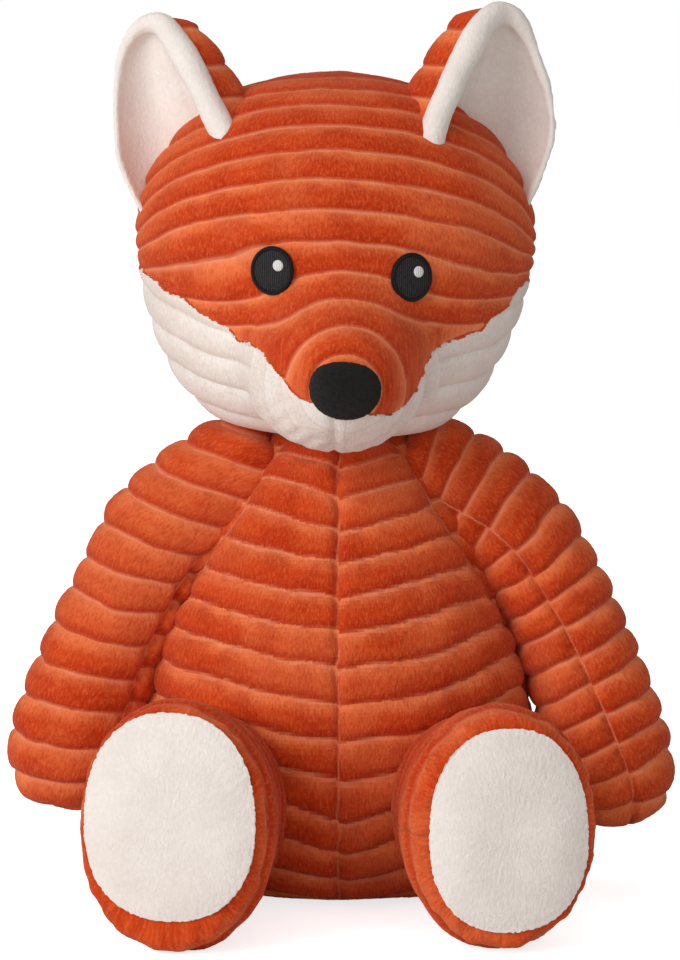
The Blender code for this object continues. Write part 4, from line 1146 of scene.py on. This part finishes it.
def makeEye(label):
    e = eye
    pose = patchFrame(*e[label])
    deselectAll()
    bpy.ops.mesh.primitive_uv_sphere_add(segments=64, ring_count=24, radius=1)
    disc = bpy.context.object
    disc.name = "eye" + label.capitalize()
    disc.data.transform(Matrix.Diagonal((e["halfWidth"] * 0.97, e["halfHeight"] * 0.97, e["dome"], 1)))
    disc.data.materials.append(blackThread)
    deselectAll()
    bpy.ops.mesh.primitive_torus_add(major_segments=96, minor_segments=14, major_radius=1 - e["rimShare"] / 2,
                                     minor_radius=e["rimShare"] / 2)
    rim = bpy.context.object
    rise = e["rimHeight"] / (e["rimShare"] / 2)
    rim.data.transform(Matrix.Diagonal((e["halfWidth"], e["halfHeight"], rise, 1)))
    rim.data.materials.append(edgeThread)
    disc.select_set(True)
    bpy.context.view_layer.objects.active = disc
    bpy.ops.object.join()
    disc.data.transform(pose @ Matrix.Translation((0, 0, 0.25 * mm)))
    disc.data.shade_smooth()
    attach(disc, "head")
    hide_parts("eye_" + label)

    deselectAll()
    bpy.ops.mesh.primitive_uv_sphere_add(segments=32, ring_count=16, radius=1)
    glint = bpy.context.object
    glint.name = "eyeGlint" + label.capitalize()
    wide, tall = e["glintSize"]
    gx, gz = e["glint"]
    glint.data.transform(Matrix.Diagonal((wide, tall, 0.45 * mm, 1)))
    glint.data.transform(pose @ Matrix.Translation((gx, gz, 0.25 * mm + e["dome"] * 0.85)))
    glint.data.materials.append(whiteThread)
    glint.data.shade_smooth()
    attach(glint, "head")
    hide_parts("eye_glint_" + label)


def makeNose():
    n = nose
    deselectAll()
    bpy.ops.mesh.primitive_uv_sphere_add(segments=128, ring_count=96, radius=1)
    piece = bpy.context.object
    piece.name = "plushNose"
    co = getPoints(piece)
    x, y, z = co[:, 0], co[:, 1], co[:, 2]
    full = (np.abs(x) ** 2.15 + np.abs(z) ** 2.15 + 1e-9) ** (-1 / 2.15) * np.hypot(x, z)
    wide = x * full * n["halfWidth"] * (1 + 0.04 * z)
    tall = z * full * n["halfHeight"] * (1 - 0.06 * np.clip(z, 0, 1) ** 3)
    spot = onHead(n["x"], n["z"])[0]
    setPoints(piece, np.stack([
        n["x"] + wide * math.cos(n["tip"]) + tall * math.sin(n["tip"]), spot.y + 1.5 * mm + y * n["depth"],
        n["z"] + tall * math.cos(n["tip"]) - wide * math.sin(n["tip"])], 1))
    markPile(piece, z, x)
    roughen(piece, *nosePile)
    finishPiece(piece, "head", blackPlush, ["nose"])


for label in sides:
    makeEye(label)
makeNose()
print("face sewn")

# Floor, light and camera

stageLook = {"floor": (0.9, 0.9, 0.9, 1), "glow": 0.75, "world": 0.38}
# place, width and power of each lamp
lamps = {"keyLamp": ((-1.08, -1.1, 0.7), 1.0, 16.5), "fillLamp": ((0.15, -1.5, 0.35), 0.9, 2.3),
         "topLamp": ((0, 0.1, 1.3), 1.0, 1.8)}
view = {"elevation": math.radians(7.2), "distance": 1.3, "target": (0.0005, 0, 0.112),
        "sensor": 36, "height": 0.2636}


def makeFloor():
    deselectAll()
    bpy.ops.mesh.primitive_plane_add(size=8, location=(0, 0, 0))
    floor = bpy.context.object
    floor.name = "floor"
    material = bpy.data.materials.new("paleFloor")
    material.use_nodes = True
    tree = material.node_tree
    shader = tree.nodes["Principled BSDF"]
    shader.inputs["Base Color"].default_value = stageLook["floor"]
    shader.inputs["Roughness"].default_value = 0.9
    shader.inputs["Specular IOR Level"].default_value = 0.0
    shader.inputs["Emission Color"].default_value = (1, 1, 1, 1)
    path = addNode(tree, "ShaderNodeLightPath")
    seen = mathNode(tree, "MULTIPLY", path.outputs["Is Camera Ray"], stageLook["glow"])
    tree.links.new(seen, shader.inputs["Emission Strength"])
    floor.data.materials.append(material)


def makeWorld():
    world = bpy.data.worlds.new("studio")
    bpy.context.scene.world = world
    world.use_nodes = True
    tree = world.node_tree
    plain = tree.nodes["Background"]
    plain.inputs["Color"].default_value = (1, 1, 1, 1)
    plain.inputs["Strength"].default_value = stageLook["world"]
    white = addNode(tree, "ShaderNodeBackground")
    white.inputs["Color"].default_value = (1, 1, 1, 1)
    white.inputs["Strength"].default_value = 1.0
    path = addNode(tree, "ShaderNodeLightPath")
    mix = addNode(tree, "ShaderNodeMixShader")
    wire(tree, path, "Is Camera Ray", mix, 0)
    tree.links.new(plain.outputs[0], mix.inputs[1])
    tree.links.new(white.outputs[0], mix.inputs[2])
    wire(tree, mix, "Shader", tree.nodes["World Output"], "Surface")


def makeLamp(name, place, size, power):
    data = bpy.data.lights.new(name, "AREA")
    data.shape = "RECTANGLE"
    data.size, data.size_y = size, size
    data.energy = power
    lamp = bpy.data.objects.new(name, data)
    bpy.context.scene.collection.objects.link(lamp)
    lamp.location = place
    aim = Vector((0, 0, 0.12)) - Vector(place)
    lamp.rotation_euler = aim.to_track_quat("-Z", "Y").to_euler()


def makeCamera():
    data = bpy.data.cameras.new("camera")
    camera = bpy.data.objects.new("camera", data)
    bpy.context.scene.collection.objects.link(camera)
    elevation, distance = view["elevation"], view["distance"]
    target = Vector(view["target"])
    camera.location = target + distance * Vector((0, -math.cos(elevation), math.sin(elevation)))
    camera.rotation_euler = (target - camera.location).to_track_quat("-Z", "Y").to_euler()
    data.sensor_fit = "VERTICAL"
    data.sensor_height = view["sensor"]
    data.lens = view["sensor"] * distance / view["height"]
    data.clip_start = 0.05
    bpy.context.scene.camera = camera


makeFloor()
makeWorld()
for name, (place, size, power) in lamps.items():
    makeLamp(name, place, size, power)
makeCamera()
bpy.context.scene.view_settings.view_transform = "Standard"
print("stage set")
